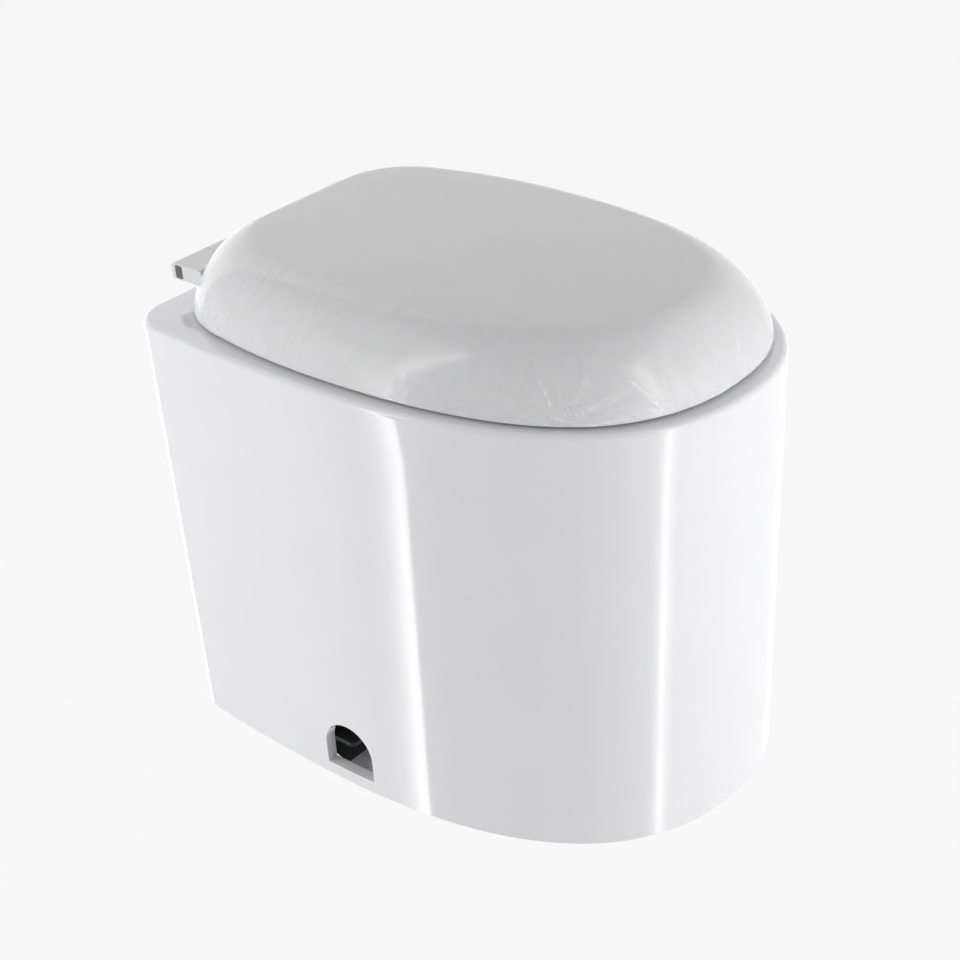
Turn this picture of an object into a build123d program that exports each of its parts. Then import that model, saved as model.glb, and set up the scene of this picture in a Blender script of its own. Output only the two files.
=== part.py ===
from build123d import *
import math
import os

os.makedirs("parts", exist_ok=True)

# Frame: the floor is z = 0, the front of the bowl points to -Y, and X = 0 is the plane of symmetry.
# Driving dimensions, in millimetres. Clearances come first.
FIT = 0.10
RUNNING = 0.05
MOVING_GAP = 0.30
CUT = 1.0

# China pedestal
WIDTH = 360.0
LENGTH = 504.0
RIM_HEIGHT = 380.0
FRONT_REACH = 294.0
FRONT_DRAFT = 14.4
REAR_DRAFT = 11.9
REAR_NARROWING = 11.3
REAR_CORNER = 37.0
NOSE_POWER = 2.35
WALL = 10.0
RIM_THICKNESS = 14.0
RIM_ROUND = 6.0

# Bowl
BOWL_Y = -45.0
BOWL_HALF_WIDTH = 116.0
BOWL_HALF_LENGTH = 153.0
BOWL_WALL = 9.0
SUMP_HEIGHT = 150.0
OUTLET_Y = -30.0
OUTLET_BORE = 22.0
SPIGOT_RADIUS = 30.0
SPIGOT_LENGTH = 30.0

# Side arches and the floor lugs behind them
ARCH_Y = 32.6
ARCH_WIDTH = 52.4
ARCH_SILL = 13.0
ARCH_TOP = 60.0
LUG_THICKNESS = 8.0
LUG_REACH = 60.0
LUG_FRONT_Y = -32.0
LUG_BACK_Y = 48.0
FLOOR_HOLE_INSET = 20.0
FLOOR_HOLE_RADIUS = 3.5

# Service opening in the back, and the rear ledges
SERVICE_WIDTH = 250.0
SERVICE_SILL = 18.0
SERVICE_TOP = 236.0
SERVICE_CORNER = 24.0
LEDGE_WIDTH = 48.0
LEDGE_INSET = 32.0
LEDGE_DEPTH = 46.0

# Tray that carries the pump, on the lugs and the ledges
TRAY_THICKNESS = 4.0
TRAY_FRONT_INSET = 46.0
TRAY_REAR_INSET = 30.0
TRAY_STEP_Y = 58.0
TRAY_SCREW_INSET = 53.0
TRAY_FRONT_SCREW_Y = -12.0
TRAY_CORNER = 5.0
SCREW_RADIUS = 2.5
SCREW_HEAD_RADIUS = 4.6
SCREW_HEAD = 3.0

# Hinge line behind the rim
AXIS_SETBACK = 12.0
AXIS_RISE = 24.0
BAR_THICKNESS = 14.0
BAR_FRONT = 28.0
BAR_BACK = 8.0
BAR_ROUND = 2.5
BAR_HALF_LENGTH = 118.0
BLOCK_INNER_X = 80.0
KNUCKLE_INNER_X = 55.0
SIDE_GAP = 0.6
SWEEP_RADIUS = 30.0
PIN_RADIUS = 4.0
PIN_INNER_X = 34.0
BUSH_WALL = 1.5
STEM_X = 96.0
STEM_SETBACK = 21.0
STEM_RADIUS = 10.0
GASKET = 1.5
STUD_RADIUS = 4.0
STUD_LENGTH = 62.0
STUD_ENTRY = 14.0
CAP_WIDTH = 8.4
CAP_HEIGHT = 11.6
CAP_DEPTH = 2.5
CAP_SETBACK = 12.6

# Lid
LID_GAP = 3.0
LID_SIDE_INSET = 12.0
LID_FRONT_INSET = 14.0
LID_REAR_INSET = 7.0
LID_REAR_NARROWING = 34.0
LID_CORNER = 105.0
LID_POWER = 2.5
LID_HEIGHT = 58.0
LID_EDGE_INSET = 50.0
LID_EDGE_POWER = 1.6
LID_CROWN = 3.0
LID_CROWN_INSET = 94.0
LID_WALL = 4.0
FILM_THICKNESS = 0.6

# Seat
SEAT_RISE = 8.0
SEAT_THICKNESS = 24.0
SEAT_INSET = 17.0
SEAT_ROUND = 7.0
SEAT_SIDE_BAND = 53.0
SEAT_FRONT_BAND = 31.0
SEAT_REAR_BAND = 162.0
BUMPER_RADIUS = 9.0
FRONT_BUMPER_INSET = 56.0
FRONT_BUMPER_Y = -88.0
REAR_BUMPER_INSET = 76.0
REAR_BUMPER_Y = 124.0
FRONT_BUFFER_INSET = 59.0
FRONT_BUFFER_Y = -64.0
REAR_BUFFER_Y = 104.0
BUFFER_RADIUS = 8.0
BUFFER_HEIGHT = 11.0
BOSS_RADIUS = 11.0

# Pump and motor, on a line along Y under the bowl outlet
PUMP_Z = 72.0
PUMP_START = 24.0
ELBOW_BEND = 28.0
ELBOW_BORE = 20.0
ELBOW_WALL = 5.0
SEAL_WALL = 4.0
SOCKET_DEPTH = 20.0
FLANGE_RADIUS = 56.0
FLANGE_THICKNESS = 6.0
HOUSING_RADIUS = 46.0
CHAMBER_RADIUS = 40.0
CHAMBER_DEPTH = 26.0
VOLUTE_RADIUS = 37.0
VOLUTE_DEPTH = 21.0
HOUSING_LENGTH = 54.0
CUTTER_PLATE = 3.0
SHAFT_RADIUS = 4.0
SEAL_RADIUS = 11.0
SEAL_WIDTH = 5.5
BEARING_RADIUS = 11.0
BEARING_WIDTH = 7.0
BELL_LENGTH = 12.0
MOTOR_RADIUS = 43.0
CASE_WALL = 3.0
CASE_LENGTH = 100.0
END_CAP_LENGTH = 22.0
MAGNET_THICKNESS = 7.0
MAGNET_ARC = 110.0
ARMATURE_RADIUS = 31.0
CORE_LENGTH = 58.0
WINDING_RADIUS = 27.0
WINDING_LENGTH = 9.0
COMMUTATOR_RADIUS = 12.0
COMMUTATOR_LENGTH = 13.0
BRUSH_LENGTH = 14.0
THROUGH_BOLT_RADIUS = 2.0
PUMP_SCREW_CIRCLE = 51.0

# Discharge side
PORT_X = 22.0
PORT_BORE = 10.0
PORT_RADIUS = 15.0
PORT_TOP = 150.0
DISCHARGE_BEND = 30.0
DISCHARGE_BORE = 13.0
DISCHARGE_RADIUS = 17.0
TAIL_FLANGE = 29.0
TAIL_FLANGE_Y = 160.0
VALVE_RUBBER = 3.0
HOSE_TAIL_RADIUS = 19.0
HOSE_TAIL_BORE = 15.5
HOSE_TAIL_END = 236.0
BARB_RISE = 1.2
BARBS = 3

# Motor cradle
CRADLE_Y = 122.0
CRADLE_WIDTH = 34.0
CRADLE_BASE_HALF = 67.0
CRADLE_BLOCK_HALF = 52.0
CRADLE_BASE = 6.0
CRADLE_TOP = 52.0
MOUNT_HEIGHT = 8.0
MOUNT_RADIUS = 7.0
MOUNT_X = 58.5
STRAP_THICKNESS = 1.5
STRAP_WIDTH = 18.0
STRAP_SCREW_X = 46.8

# Rinse water side
VALVE_X = -90.0
VALVE_SETBACK = 22.0
VALVE_Z = 165.0
VALVE_WIDTH = 38.0
VALVE_DEPTH = 40.0
VALVE_HEIGHT = 30.0
WATER_BORE = 5.0
INLET_TAIL_RADIUS = 9.5
INLET_TAIL_BORE = 6.5
INLET_TAIL_END = 224.0
HOSE_RADIUS = 9.0
HOSE_BORE = 6.6
SPUD_Z = 332.0
HOSE_BEND = 44.0
COIL_RADIUS = 17.0
COIL_LENGTH = 30.0
GUIDE_RADIUS = 7.5
PLUNGER_RADIUS = 6.0
PLUNGER_TRAVEL = 3.0
SPRING_WIRE = 0.45
SPRING_COIL = 4.4
SPRING_TURNS = 5
SPRING_LENGTH = 2 * SPRING_WIRE * (SPRING_TURNS + 1) + PLUNGER_TRAVEL + 2 * MOVING_GAP
BRACKET_THICKNESS = 2.0

# Terminal box and leads
BOX_INNER_X = -99.0
BOX_SIDE_GAP = 9.7
BOX_FRONT_Y = 116.0
BOX_BACK_Y = 194.0
BOX_HEIGHT = 46.0
BOX_WALL = 2.5
GLAND_INSET = 9.0
LEAD_RADIUS = 3.0
LEAD_DROP = 26.0

# What follows from them
HALF_WIDTH = WIDTH / 2
WIDEST_Y = FRONT_REACH - LENGTH / 2
REAR_REACH = LENGTH - FRONT_REACH
BACK_Y = LENGTH / 2
FLOOR_HOLE_X = HALF_WIDTH - FLOOR_HOLE_INSET
LUG_INNER_X = HALF_WIDTH - LUG_REACH
LEDGE_OUTER_X = HALF_WIDTH - LEDGE_INSET
LEDGE_INNER_X = LEDGE_OUTER_X - LEDGE_WIDTH
LEDGE_FRONT_Y = BACK_Y - LEDGE_DEPTH
TRAY_SCREW_X = HALF_WIDTH - TRAY_SCREW_INSET
TRAY_REAR_SCREW_Y = LEDGE_FRONT_Y + 2 * TRAY_CORNER
BOX_OUTER_X = -(HALF_WIDTH - REAR_NARROWING - WALL - BOX_SIDE_GAP)
LID_HALF_WIDTH = HALF_WIDTH - LID_SIDE_INSET
LID_FRONT = FRONT_REACH - LID_FRONT_INSET
LID_REAR = REAR_REACH - LID_REAR_INSET
SEAT_BUMPERS = (
    (HALF_WIDTH - FRONT_BUMPER_INSET, FRONT_BUMPER_Y),
    (HALF_WIDTH - REAR_BUMPER_INSET, REAR_BUMPER_Y),
)
LID_BUFFERS = (
    (HALF_WIDTH - FRONT_BUFFER_INSET, FRONT_BUFFER_Y),
    (HALF_WIDTH - REAR_BUMPER_INSET, REAR_BUFFER_Y),
)
ROOF_Z = RIM_HEIGHT - RIM_THICKNESS
AXIS_Y = BACK_Y - AXIS_SETBACK
AXIS_Z = RIM_HEIGHT + AXIS_RISE
TRAY_BOTTOM = LUG_THICKNESS
TRAY_TOP = TRAY_BOTTOM + TRAY_THICKNESS
LID_BOTTOM = RIM_HEIGHT + LID_GAP
SEAT_BOTTOM = RIM_HEIGHT + SEAT_RISE
SEAT_TOP = SEAT_BOTTOM + SEAT_THICKNESS
STUD_Y = BACK_Y - STEM_SETBACK


def save(part, name):
    """Label a finished piece and write it to its own file."""
    part.label = name
    export_step(part, f"parts/{name}.step")


def plan_outline(height, half_width, front, rear, rear_half_width, corner, power):
    """Plan of the china or the lid: a superellipse nose, flanks drawing in, a back with round corners."""
    fullness = (8 * 2 ** (-1 / power) - 4) / 3
    tip = WIDEST_Y - front
    shoulder = WIDEST_Y - fullness * front
    back = WIDEST_Y + rear
    flank = WIDEST_Y + rear / 2
    with BuildSketch(Plane.XY.offset(height)) as plan:
        with BuildLine():
            Bezier((half_width, WIDEST_Y), (half_width, shoulder), (fullness * half_width, tip), (0, tip))
            Bezier((-half_width, WIDEST_Y), (-half_width, shoulder), (-fullness * half_width, tip), (0, tip))
            Bezier((-half_width, WIDEST_Y), (-half_width, flank), (-rear_half_width, back))
            Line((-rear_half_width, back), (rear_half_width, back))
            Bezier((rear_half_width, back), (half_width, flank), (half_width, WIDEST_Y))
        make_face()
        fillet(plan.vertices().group_by(Axis.Y)[-1], corner)
    return plan.sketch


def china_plan(height, inset):
    """Section of the pedestal's outside at a height, drawn in by an inset."""
    draft = 1 - height / RIM_HEIGHT
    return plan_outline(
        height,
        HALF_WIDTH - inset,
        FRONT_REACH - FRONT_DRAFT * draft - inset,
        REAR_REACH - REAR_DRAFT * draft - inset,
        HALF_WIDTH - REAR_NARROWING - inset,
        REAR_CORNER - inset,
        NOSE_POWER,
    )


def oval(height, centre_y, half_width, half_length):
    """Elliptical section of the bowl at a height."""
    with BuildSketch(Plane.XY.offset(height)) as section:
        with Locations((0, centre_y)):
            Ellipse(half_width, half_length)
    return section.sketch


def along_y(start, x=0.0, z=PUMP_Z):
    """Plane square to Y whose normal points to the back, so that an extrusion runs rearwards."""
    return Plane(origin=(x, start, z), x_dir=(1, 0, 0), z_dir=(0, 1, 0))


def along_x(start, y, z):
    """Plane square to X whose normal points to +X."""
    return Plane(origin=(start, y, z), x_dir=(0, 1, 0), z_dir=(1, 0, 0))


def round_bar(plane, radius, length, bore=0.0):
    """Plain turned piece: a rod, or a ring where it has a bore."""
    with BuildPart() as bar:
        with BuildSketch(plane):
            Circle(radius)
            if bore > 0:
                Circle(bore, mode=Mode.SUBTRACT)
        extrude(amount=length)
    return bar.part


def pan_screw(plane, shank_radius, shank, head_radius, head):
    """Screw whose head stands behind the plane and whose shank runs along the plane's normal."""
    with BuildPart() as screw:
        with BuildSketch(plane):
            Circle(head_radius)
        extrude(amount=-head)
        chamfer(screw.faces().sort_by(SortBy.DISTANCE)[-1].edges(), head * 0.2)
        with BuildSketch(plane):
            Circle(shank_radius)
        extrude(amount=shank)
    return screw.part


def group(pieces):
    """Several loose copies of one fastener, kept together as separate solids."""
    return Compound(children=pieces)


# Bowl: a smooth basin that narrows to the sump, wrapped in its own wall
BOWL_LEVELS = (
    (RIM_HEIGHT, BOWL_Y, BOWL_HALF_WIDTH, BOWL_HALF_LENGTH),
    (RIM_HEIGHT - 42, BOWL_Y, BOWL_HALF_WIDTH + 3, BOWL_HALF_LENGTH + 3),
    (RIM_HEIGHT - 110, BOWL_Y + 6, BOWL_HALF_WIDTH - 20, BOWL_HALF_LENGTH - 26),
    (RIM_HEIGHT - 178, BOWL_Y + 12, BOWL_HALF_WIDTH - 54, BOWL_HALF_LENGTH - 76),
    (SUMP_HEIGHT, OUTLET_Y, OUTLET_BORE + 13, OUTLET_BORE + 17),
)
bowl_inside = [oval(z, y, a, b) for z, y, a, b in BOWL_LEVELS]
bowl_outside = [oval(z, y, a + BOWL_WALL, b + BOWL_WALL) for z, y, a, b in BOWL_LEVELS[:-1]]
sump_z, sump_y, sump_a, sump_b = BOWL_LEVELS[-1]
bowl_outside.append(oval(sump_z - BOWL_WALL, sump_y, sump_a + BOWL_WALL, sump_b + BOWL_WALL))
SPIGOT_TOP = SUMP_HEIGHT - BOWL_WALL
SPIGOT_END = SPIGOT_TOP - SPIGOT_LENGTH

# Rinse spud place: where the water enters the back of the bowl
SPUD_SEAT_Y = BOWL_Y + BOWL_HALF_LENGTH + 7.0
SPUD_BOSS_Y = SPUD_SEAT_Y + 13.0
VALVE_Y = SPUD_BOSS_Y + VALVE_SETBACK
SPUD_RADIUS = 8.0
SPUD_HEAD_RADIUS = 15.0
SPUD_HEAD = 5.0
SPUD_SEAL = 2.0

with BuildPart() as hollow:
    loft([china_plan(-CUT, WALL), china_plan(ROOF_Z, WALL)], ruled=True)
    loft(bowl_outside, mode=Mode.SUBTRACT)
    with BuildSketch(Plane.XY.offset(SPIGOT_END)):
        with Locations((0, OUTLET_Y)):
            Circle(SPIGOT_RADIUS)
    extrude(amount=SPIGOT_LENGTH + CUT, mode=Mode.SUBTRACT)
    with BuildSketch(along_y(BOWL_Y + BOWL_HALF_LENGTH / 2, 0, SPUD_Z)):
        Circle(SPUD_HEAD_RADIUS + 5)
    extrude(amount=SPUD_BOSS_Y - BOWL_Y - BOWL_HALF_LENGTH / 2, mode=Mode.SUBTRACT)

# China pedestal: the skirt, the bowl and the rim deck are cast apart, luted face to face and fired as one
DECK_JOINT = ROOF_Z - WALL
with BuildPart() as china:
    loft([china_plan(0, 0), china_plan(RIM_HEIGHT, 0)], ruled=True)
    fillet(china.faces().sort_by(Axis.Z)[-1].edges(), RIM_ROUND)
    add(hollow.part, mode=Mode.SUBTRACT)
    loft(bowl_inside, mode=Mode.SUBTRACT)
    with BuildSketch(Plane.XY.offset(SPIGOT_END)):
        with Locations((0, OUTLET_Y)):
            Circle(OUTLET_BORE)
    extrude(amount=SUMP_HEIGHT - SPIGOT_END + CUT, mode=Mode.SUBTRACT)
    rim_inner = china.faces().sort_by(Axis.Z)[-1].inner_wires()[0].edges()
    fillet(rim_inner, RIM_ROUND)
    # Floor lugs behind the arches, and ledges in the rear corners
    with BuildSketch():
        for side in (-1, 1):
            lug_outer = HALF_WIDTH - 0.7 * WALL
            with Locations((side * (LUG_INNER_X + lug_outer) / 2, (LUG_FRONT_Y + LUG_BACK_Y) / 2)):
                Rectangle(lug_outer - LUG_INNER_X, LUG_BACK_Y - LUG_FRONT_Y)
            ledge_back = BACK_Y - REAR_DRAFT - 0.6 * WALL
            with Locations((side * (LEDGE_INNER_X + LEDGE_OUTER_X) / 2, (LEDGE_FRONT_Y + ledge_back) / 2)):
                Rectangle(LEDGE_OUTER_X - LEDGE_INNER_X, ledge_back - LEDGE_FRONT_Y)
    extrude(amount=LUG_THICKNESS)
    # Arches through both flanks
    with BuildSketch(Plane.YZ):
        arch_radius = ARCH_WIDTH / 2
        with Locations((ARCH_Y, ARCH_TOP - arch_radius)):
            Circle(arch_radius)
        with Locations((ARCH_Y, (ARCH_SILL + ARCH_TOP - arch_radius) / 2)):
            Rectangle(ARCH_WIDTH, ARCH_TOP - arch_radius - ARCH_SILL)
    extrude(amount=WIDTH, both=True, mode=Mode.SUBTRACT)
    # Service opening in the back
    with BuildSketch(along_y(BACK_Y - 4 * WALL, 0, 0)):
        with Locations((0, -(SERVICE_SILL + SERVICE_TOP) / 2)):
            RectangleRounded(SERVICE_WIDTH, SERVICE_TOP - SERVICE_SILL, SERVICE_CORNER)
    extrude(amount=5 * WALL, mode=Mode.SUBTRACT)
    # Holes: floor screws, tray screws, hinge studs, rinse spud
    with Locations(*[(side * FLOOR_HOLE_X, ARCH_Y, LUG_THICKNESS) for side in (-1, 1)]):
        Hole(FLOOR_HOLE_RADIUS, LUG_THICKNESS)
    tray_screw_spots = [
        (side * TRAY_SCREW_X, y) for side in (-1, 1) for y in (TRAY_FRONT_SCREW_Y, TRAY_REAR_SCREW_Y)
    ]
    with Locations(*[(x, y, LUG_THICKNESS) for x, y in tray_screw_spots]):
        Hole(SCREW_RADIUS + FIT, LUG_THICKNESS)
    with Locations(*[(side * STEM_X, STUD_Y, RIM_HEIGHT) for side in (-1, 1)]):
        Hole(STUD_RADIUS + 1, RIM_THICKNESS + CUT)
    with BuildSketch(along_y(BOWL_Y, 0, SPUD_Z)):
        Circle(SPUD_RADIUS + FIT)
    extrude(amount=SPUD_BOSS_Y - BOWL_Y + CUT, mode=Mode.SUBTRACT)
    with BuildSketch(along_y(BOWL_Y, 0, SPUD_Z)):
        Circle(SPUD_HEAD_RADIUS + 2)
    extrude(amount=SPUD_SEAT_Y - BOWL_Y, mode=Mode.SUBTRACT)
    split(bisect_by=Plane.XY.offset(DECK_JOINT), keep=Keep.BOTH)
save(china.part, "china_pedestal")

# Tray: a stiff plastic floor for the machinery, screwed down on the lugs and ledges
tray_back = BACK_Y - REAR_DRAFT - WALL - 4 * FIT - 2
tray_front_half = HALF_WIDTH - TRAY_FRONT_INSET
tray_rear_half = HALF_WIDTH - TRAY_REAR_INSET
with BuildPart() as tray:
    with BuildSketch(Plane.XY.offset(TRAY_BOTTOM)):
        with BuildLine():
            Polyline(
                (-tray_front_half, LUG_FRONT_Y),
                (tray_front_half, LUG_FRONT_Y),
                (tray_front_half, TRAY_STEP_Y),
                (tray_rear_half, TRAY_STEP_Y),
                (tray_rear_half, LEDGE_FRONT_Y),
                (LEDGE_OUTER_X - 8, tray_back),
                (8 - LEDGE_OUTER_X, tray_back),
                (-tray_rear_half, LEDGE_FRONT_Y),
                (-tray_rear_half, TRAY_STEP_Y),
                (-tray_front_half, TRAY_STEP_Y),
                close=True,
            )
        make_face()
    extrude(amount=TRAY_THICKNESS)
    fillet(tray.edges().filter_by(Axis.Z), TRAY_CORNER)
    with Locations(*[(x, y, TRAY_TOP) for x, y in tray_screw_spots]):
        Hole(SCREW_RADIUS + FIT, TRAY_THICKNESS)
    mount_spots = [
        (side * MOUNT_X, CRADLE_Y + end * (CRADLE_WIDTH / 2 - MOUNT_RADIUS - 1), TRAY_TOP)
        for side in (-1, 1)
        for end in (-1, 1)
    ]
    with Locations(*mount_spots):
        Hole(SCREW_RADIUS + FIT, TRAY_THICKNESS)
save(tray.part, "pump_tray")

down = [Plane(origin=(x, y, TRAY_TOP), z_dir=(0, 0, -1)) for x, y in tray_screw_spots]
tray_shank = TRAY_THICKNESS + LUG_THICKNESS - 2
tray_screws = [pan_screw(p, SCREW_RADIUS, tray_shank, SCREW_HEAD_RADIUS, SCREW_HEAD) for p in down]


# Hinge bar: one section runs across the back, split into fixed blocks, seat knuckles and the lid's wing
def hinge_bar(start, end):
    """Stretch of the hinge bar between two X positions."""
    with BuildPart() as bar:
        with BuildSketch(along_x(start, AXIS_Y, AXIS_Z)):
            with Locations(((BAR_BACK - BAR_FRONT) / 2, 0)):
                RectangleRounded(BAR_FRONT + BAR_BACK, BAR_THICKNESS, BAR_ROUND)
        extrude(amount=end - start)
    return bar.part


def axis_rod(start, end, radius, bore=0.0):
    """Rod or bush on the hinge axis between two X positions."""
    return round_bar(along_x(start, AXIS_Y, AXIS_Z), radius, end - start, bore)


STEM_BOTTOM = RIM_HEIGHT + GASKET
PIN_OUTER_X = BAR_HALF_LENGTH - CAP_DEPTH - 1.0
bush_bore = PIN_RADIUS + RUNNING
bush_radius = bush_bore + BUSH_WALL


def make_hinge_block(sign):
    """Fixed end of the hinge bar on its round stem."""
    with BuildPart() as block:
        add(hinge_bar(sign * BLOCK_INNER_X, sign * BAR_HALF_LENGTH))
        with BuildSketch(Plane.XY.offset(STEM_BOTTOM)):
            with Locations((sign * STEM_X, STUD_Y)):
                Circle(STEM_RADIUS)
        extrude(amount=AXIS_Z - STEM_BOTTOM - 2)
        with Locations((sign * STEM_X, STUD_Y, STEM_BOTTOM)):
            Cylinder(STUD_RADIUS + FIT, 2 * STUD_ENTRY + 2 * FIT, mode=Mode.SUBTRACT)
        pin_room = axis_rod(sign * BLOCK_INNER_X, sign * (BAR_HALF_LENGTH + CUT), PIN_RADIUS + FIT)
        add(pin_room, mode=Mode.SUBTRACT)
        cap_y = BACK_Y - CAP_SETBACK
        with BuildSketch(along_x(sign * (BAR_HALF_LENGTH + CUT), cap_y, AXIS_Z)):
            RectangleRounded(CAP_WIDTH + 2 * FIT, CAP_HEIGHT + 2 * FIT, BAR_ROUND / 2)
        extrude(amount=-sign * (CAP_DEPTH + CUT), mode=Mode.SUBTRACT)
    return block.part


save(group([make_hinge_block(sign) for sign in (-1, 1)]), "hinge_blocks")

cap_pieces = []
pin_pieces = []
washer_pieces = []
stud_pieces = []
lid_bush_pieces = []
WASHER_RADIUS = 10.0
WASHER_THICKNESS = 3.0
NUT_RADIUS = 8.0
NUT_HEIGHT = 8.0
WING_SPAN = 15.0
for sign in (-1, 1):
    with BuildPart() as cap:
        with BuildSketch(along_x(sign * BAR_HALF_LENGTH, BACK_Y - CAP_SETBACK, AXIS_Z)):
            RectangleRounded(CAP_WIDTH, CAP_HEIGHT, BAR_ROUND / 2)
        extrude(amount=-sign * CAP_DEPTH)
    cap_pieces.append(cap.part)
    pin_pieces.append(axis_rod(sign * PIN_INNER_X, sign * PIN_OUTER_X, PIN_RADIUS))
    stud_x = sign * STEM_X
    foot = Plane(origin=(stud_x, STUD_Y, RIM_HEIGHT))
    washer_pieces.append(round_bar(foot, STEM_RADIUS, GASKET, STUD_RADIUS + FIT))
    stud_top = Plane(origin=(stud_x, STUD_Y, STEM_BOTTOM + STUD_ENTRY))
    stud_pieces.append(round_bar(stud_top, STUD_RADIUS, -STUD_LENGTH))
    under_roof = Plane(origin=(stud_x, STUD_Y, ROOF_Z))
    washer_pieces.append(round_bar(under_roof, WASHER_RADIUS, -WASHER_THICKNESS, STUD_RADIUS + FIT))
    with BuildPart() as nut:
        with BuildSketch(under_roof.offset(-WASHER_THICKNESS)):
            Circle(NUT_RADIUS)
        extrude(amount=-NUT_HEIGHT)
        with BuildSketch(under_roof.offset(-WASHER_THICKNESS - 2)):
            SlotOverall(2 * WING_SPAN, 5)
        extrude(amount=-NUT_HEIGHT - 3)
        with BuildSketch(under_roof):
            Circle(STUD_RADIUS + FIT)
        extrude(amount=-NUT_HEIGHT - WASHER_THICKNESS - 12, mode=Mode.SUBTRACT)
    stud_pieces.append(nut.part)
    lid_bush_pieces.append(
        axis_rod(sign * PIN_INNER_X, sign * (KNUCKLE_INNER_X - SIDE_GAP), bush_radius, bush_bore)
    )
save(group(cap_pieces), "hinge_end_caps")
save(group(pin_pieces), "hinge_pins")
save(group(stud_pieces), "hinge_studs_and_nuts")
save(group(washer_pieces), "hinge_washers")
save(group(lid_bush_pieces), "lid_hinge_bushes")


def lid_plan(height, inset):
    """Plan of the lid at a height, drawn in from its lower edge by an inset."""
    corner = max(LID_CORNER - inset, LID_CORNER / 20)
    return plan_outline(
        height,
        LID_HALF_WIDTH - inset,
        LID_FRONT - inset,
        LID_REAR - inset,
        LID_HALF_WIDTH - LID_REAR_NARROWING - inset,
        corner,
        LID_POWER,
    )


def lid_sections(base, height, grow, fractions):
    """Sections of a lid skin: an edge that rolls over into a shallow crown."""
    sections = []
    for fraction in fractions:
        roll = LID_EDGE_INSET * (1 - (1 - fraction**LID_EDGE_POWER) ** (1 / LID_EDGE_POWER))
        sections.append(lid_plan(base + fraction * height, roll - grow))
    sections.append(lid_plan(base + height + LID_CROWN, LID_CROWN_INSET - grow))
    return sections


def swept_room(radius):
    """Cylinder about the hinge axis, on both sides of the lid's wing."""
    with BuildPart() as room:
        for sign in (-1, 1):
            with BuildSketch(along_x(sign * (KNUCKLE_INNER_X - SIDE_GAP), AXIS_Y, AXIS_Z)):
                Circle(radius)
            extrude(amount=sign * WIDTH / 2)
    return room.part


OUTSIDE_STEPS = (0.0, 0.3, 0.55, 0.75, 0.88, 0.96, 1.0)
INSIDE_STEPS = (0.0, 0.5, 0.8, 0.95, 1.0)
with BuildPart() as lid_block:
    loft(lid_sections(LID_BOTTOM, LID_HEIGHT, 0, OUTSIDE_STEPS), ruled=True)

with BuildPart() as lid_hollow:
    loft(lid_sections(LID_BOTTOM - CUT, LID_HEIGHT - LID_WALL + CUT, -LID_WALL, INSIDE_STEPS), ruled=True)
    add(swept_room(SWEEP_RADIUS + LID_WALL), mode=Mode.SUBTRACT)

with BuildPart() as bosses:
    boss_bottom = SEAT_TOP + MOVING_GAP + BUFFER_HEIGHT
    with BuildSketch(Plane.XY.offset(boss_bottom)):
        with Locations(*[(side * x, y) for side in (-1, 1) for x, y in LID_BUFFERS]):
            Circle(BOSS_RADIUS)
    extrude(amount=LID_HEIGHT)
    add(lid_block.part, mode=Mode.INTERSECT)

# Lid: a moulded shell with a rolled edge, a wing for the hinge and four bosses for its buffers
with BuildPart() as lid:
    add(lid_block.part)
    add(lid_hollow.part, mode=Mode.SUBTRACT)
    add(swept_room(SWEEP_RADIUS), mode=Mode.SUBTRACT)
    add(hinge_bar(SIDE_GAP - KNUCKLE_INNER_X, KNUCKLE_INNER_X - SIDE_GAP))
    add(bosses.part)
    for sign in (-1, 1):
        wing_bore = axis_rod(sign * (PIN_INNER_X - MOVING_GAP), sign * KNUCKLE_INNER_X, bush_radius + FIT)
        add(wing_bore, mode=Mode.SUBTRACT)
        with BuildSketch(Plane.XY.offset(LID_BOTTOM - CUT)):
            slot_middle = sign * (KNUCKLE_INNER_X + BLOCK_INNER_X - SIDE_GAP) / 2
            with Locations((slot_middle, AXIS_Y - SWEEP_RADIUS)):
                Rectangle(BLOCK_INNER_X - KNUCKLE_INNER_X + 1.5 * SIDE_GAP, 2 * SWEEP_RADIUS)
        extrude(amount=AXIS_Z + BAR_THICKNESS / 2 + SIDE_GAP - LID_BOTTOM + CUT, mode=Mode.SUBTRACT)
save(lid.part, "lid")

# Film: the clear wrap still on the new lid, stood off by less than its own creases
film_out = MOVING_GAP + FILM_THICKNESS
with BuildPart() as film:
    loft(lid_sections(LID_BOTTOM - FIT, LID_HEIGHT + film_out, film_out, OUTSIDE_STEPS), ruled=True)
    film_under = lid_sections(LID_BOTTOM - 2 * FIT, LID_HEIGHT + MOVING_GAP, MOVING_GAP, OUTSIDE_STEPS)
    loft(film_under, ruled=True, mode=Mode.SUBTRACT)
    add(swept_room(SWEEP_RADIUS + FILM_THICKNESS), mode=Mode.SUBTRACT)
    with BuildSketch(along_x(-WIDTH / 2, AXIS_Y, AXIS_Z)):
        Circle(SWEEP_RADIUS)
    extrude(amount=WIDTH, mode=Mode.SUBTRACT)
    with BuildSketch(Plane.XY.offset(LID_BOTTOM - LID_GAP)):
        Rectangle(2 * WIDTH, 2 * LENGTH)
    extrude(amount=LID_GAP + CUT, mode=Mode.SUBTRACT)
save(film.part, "protective_film")

buffers = [
    round_bar(Plane(origin=(side * x, y, SEAT_TOP + MOVING_GAP)), BUFFER_RADIUS, BUFFER_HEIGHT)
    for side in (-1, 1)
    for x, y in LID_BUFFERS
]
save(group(buffers), "lid_buffers")

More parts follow.
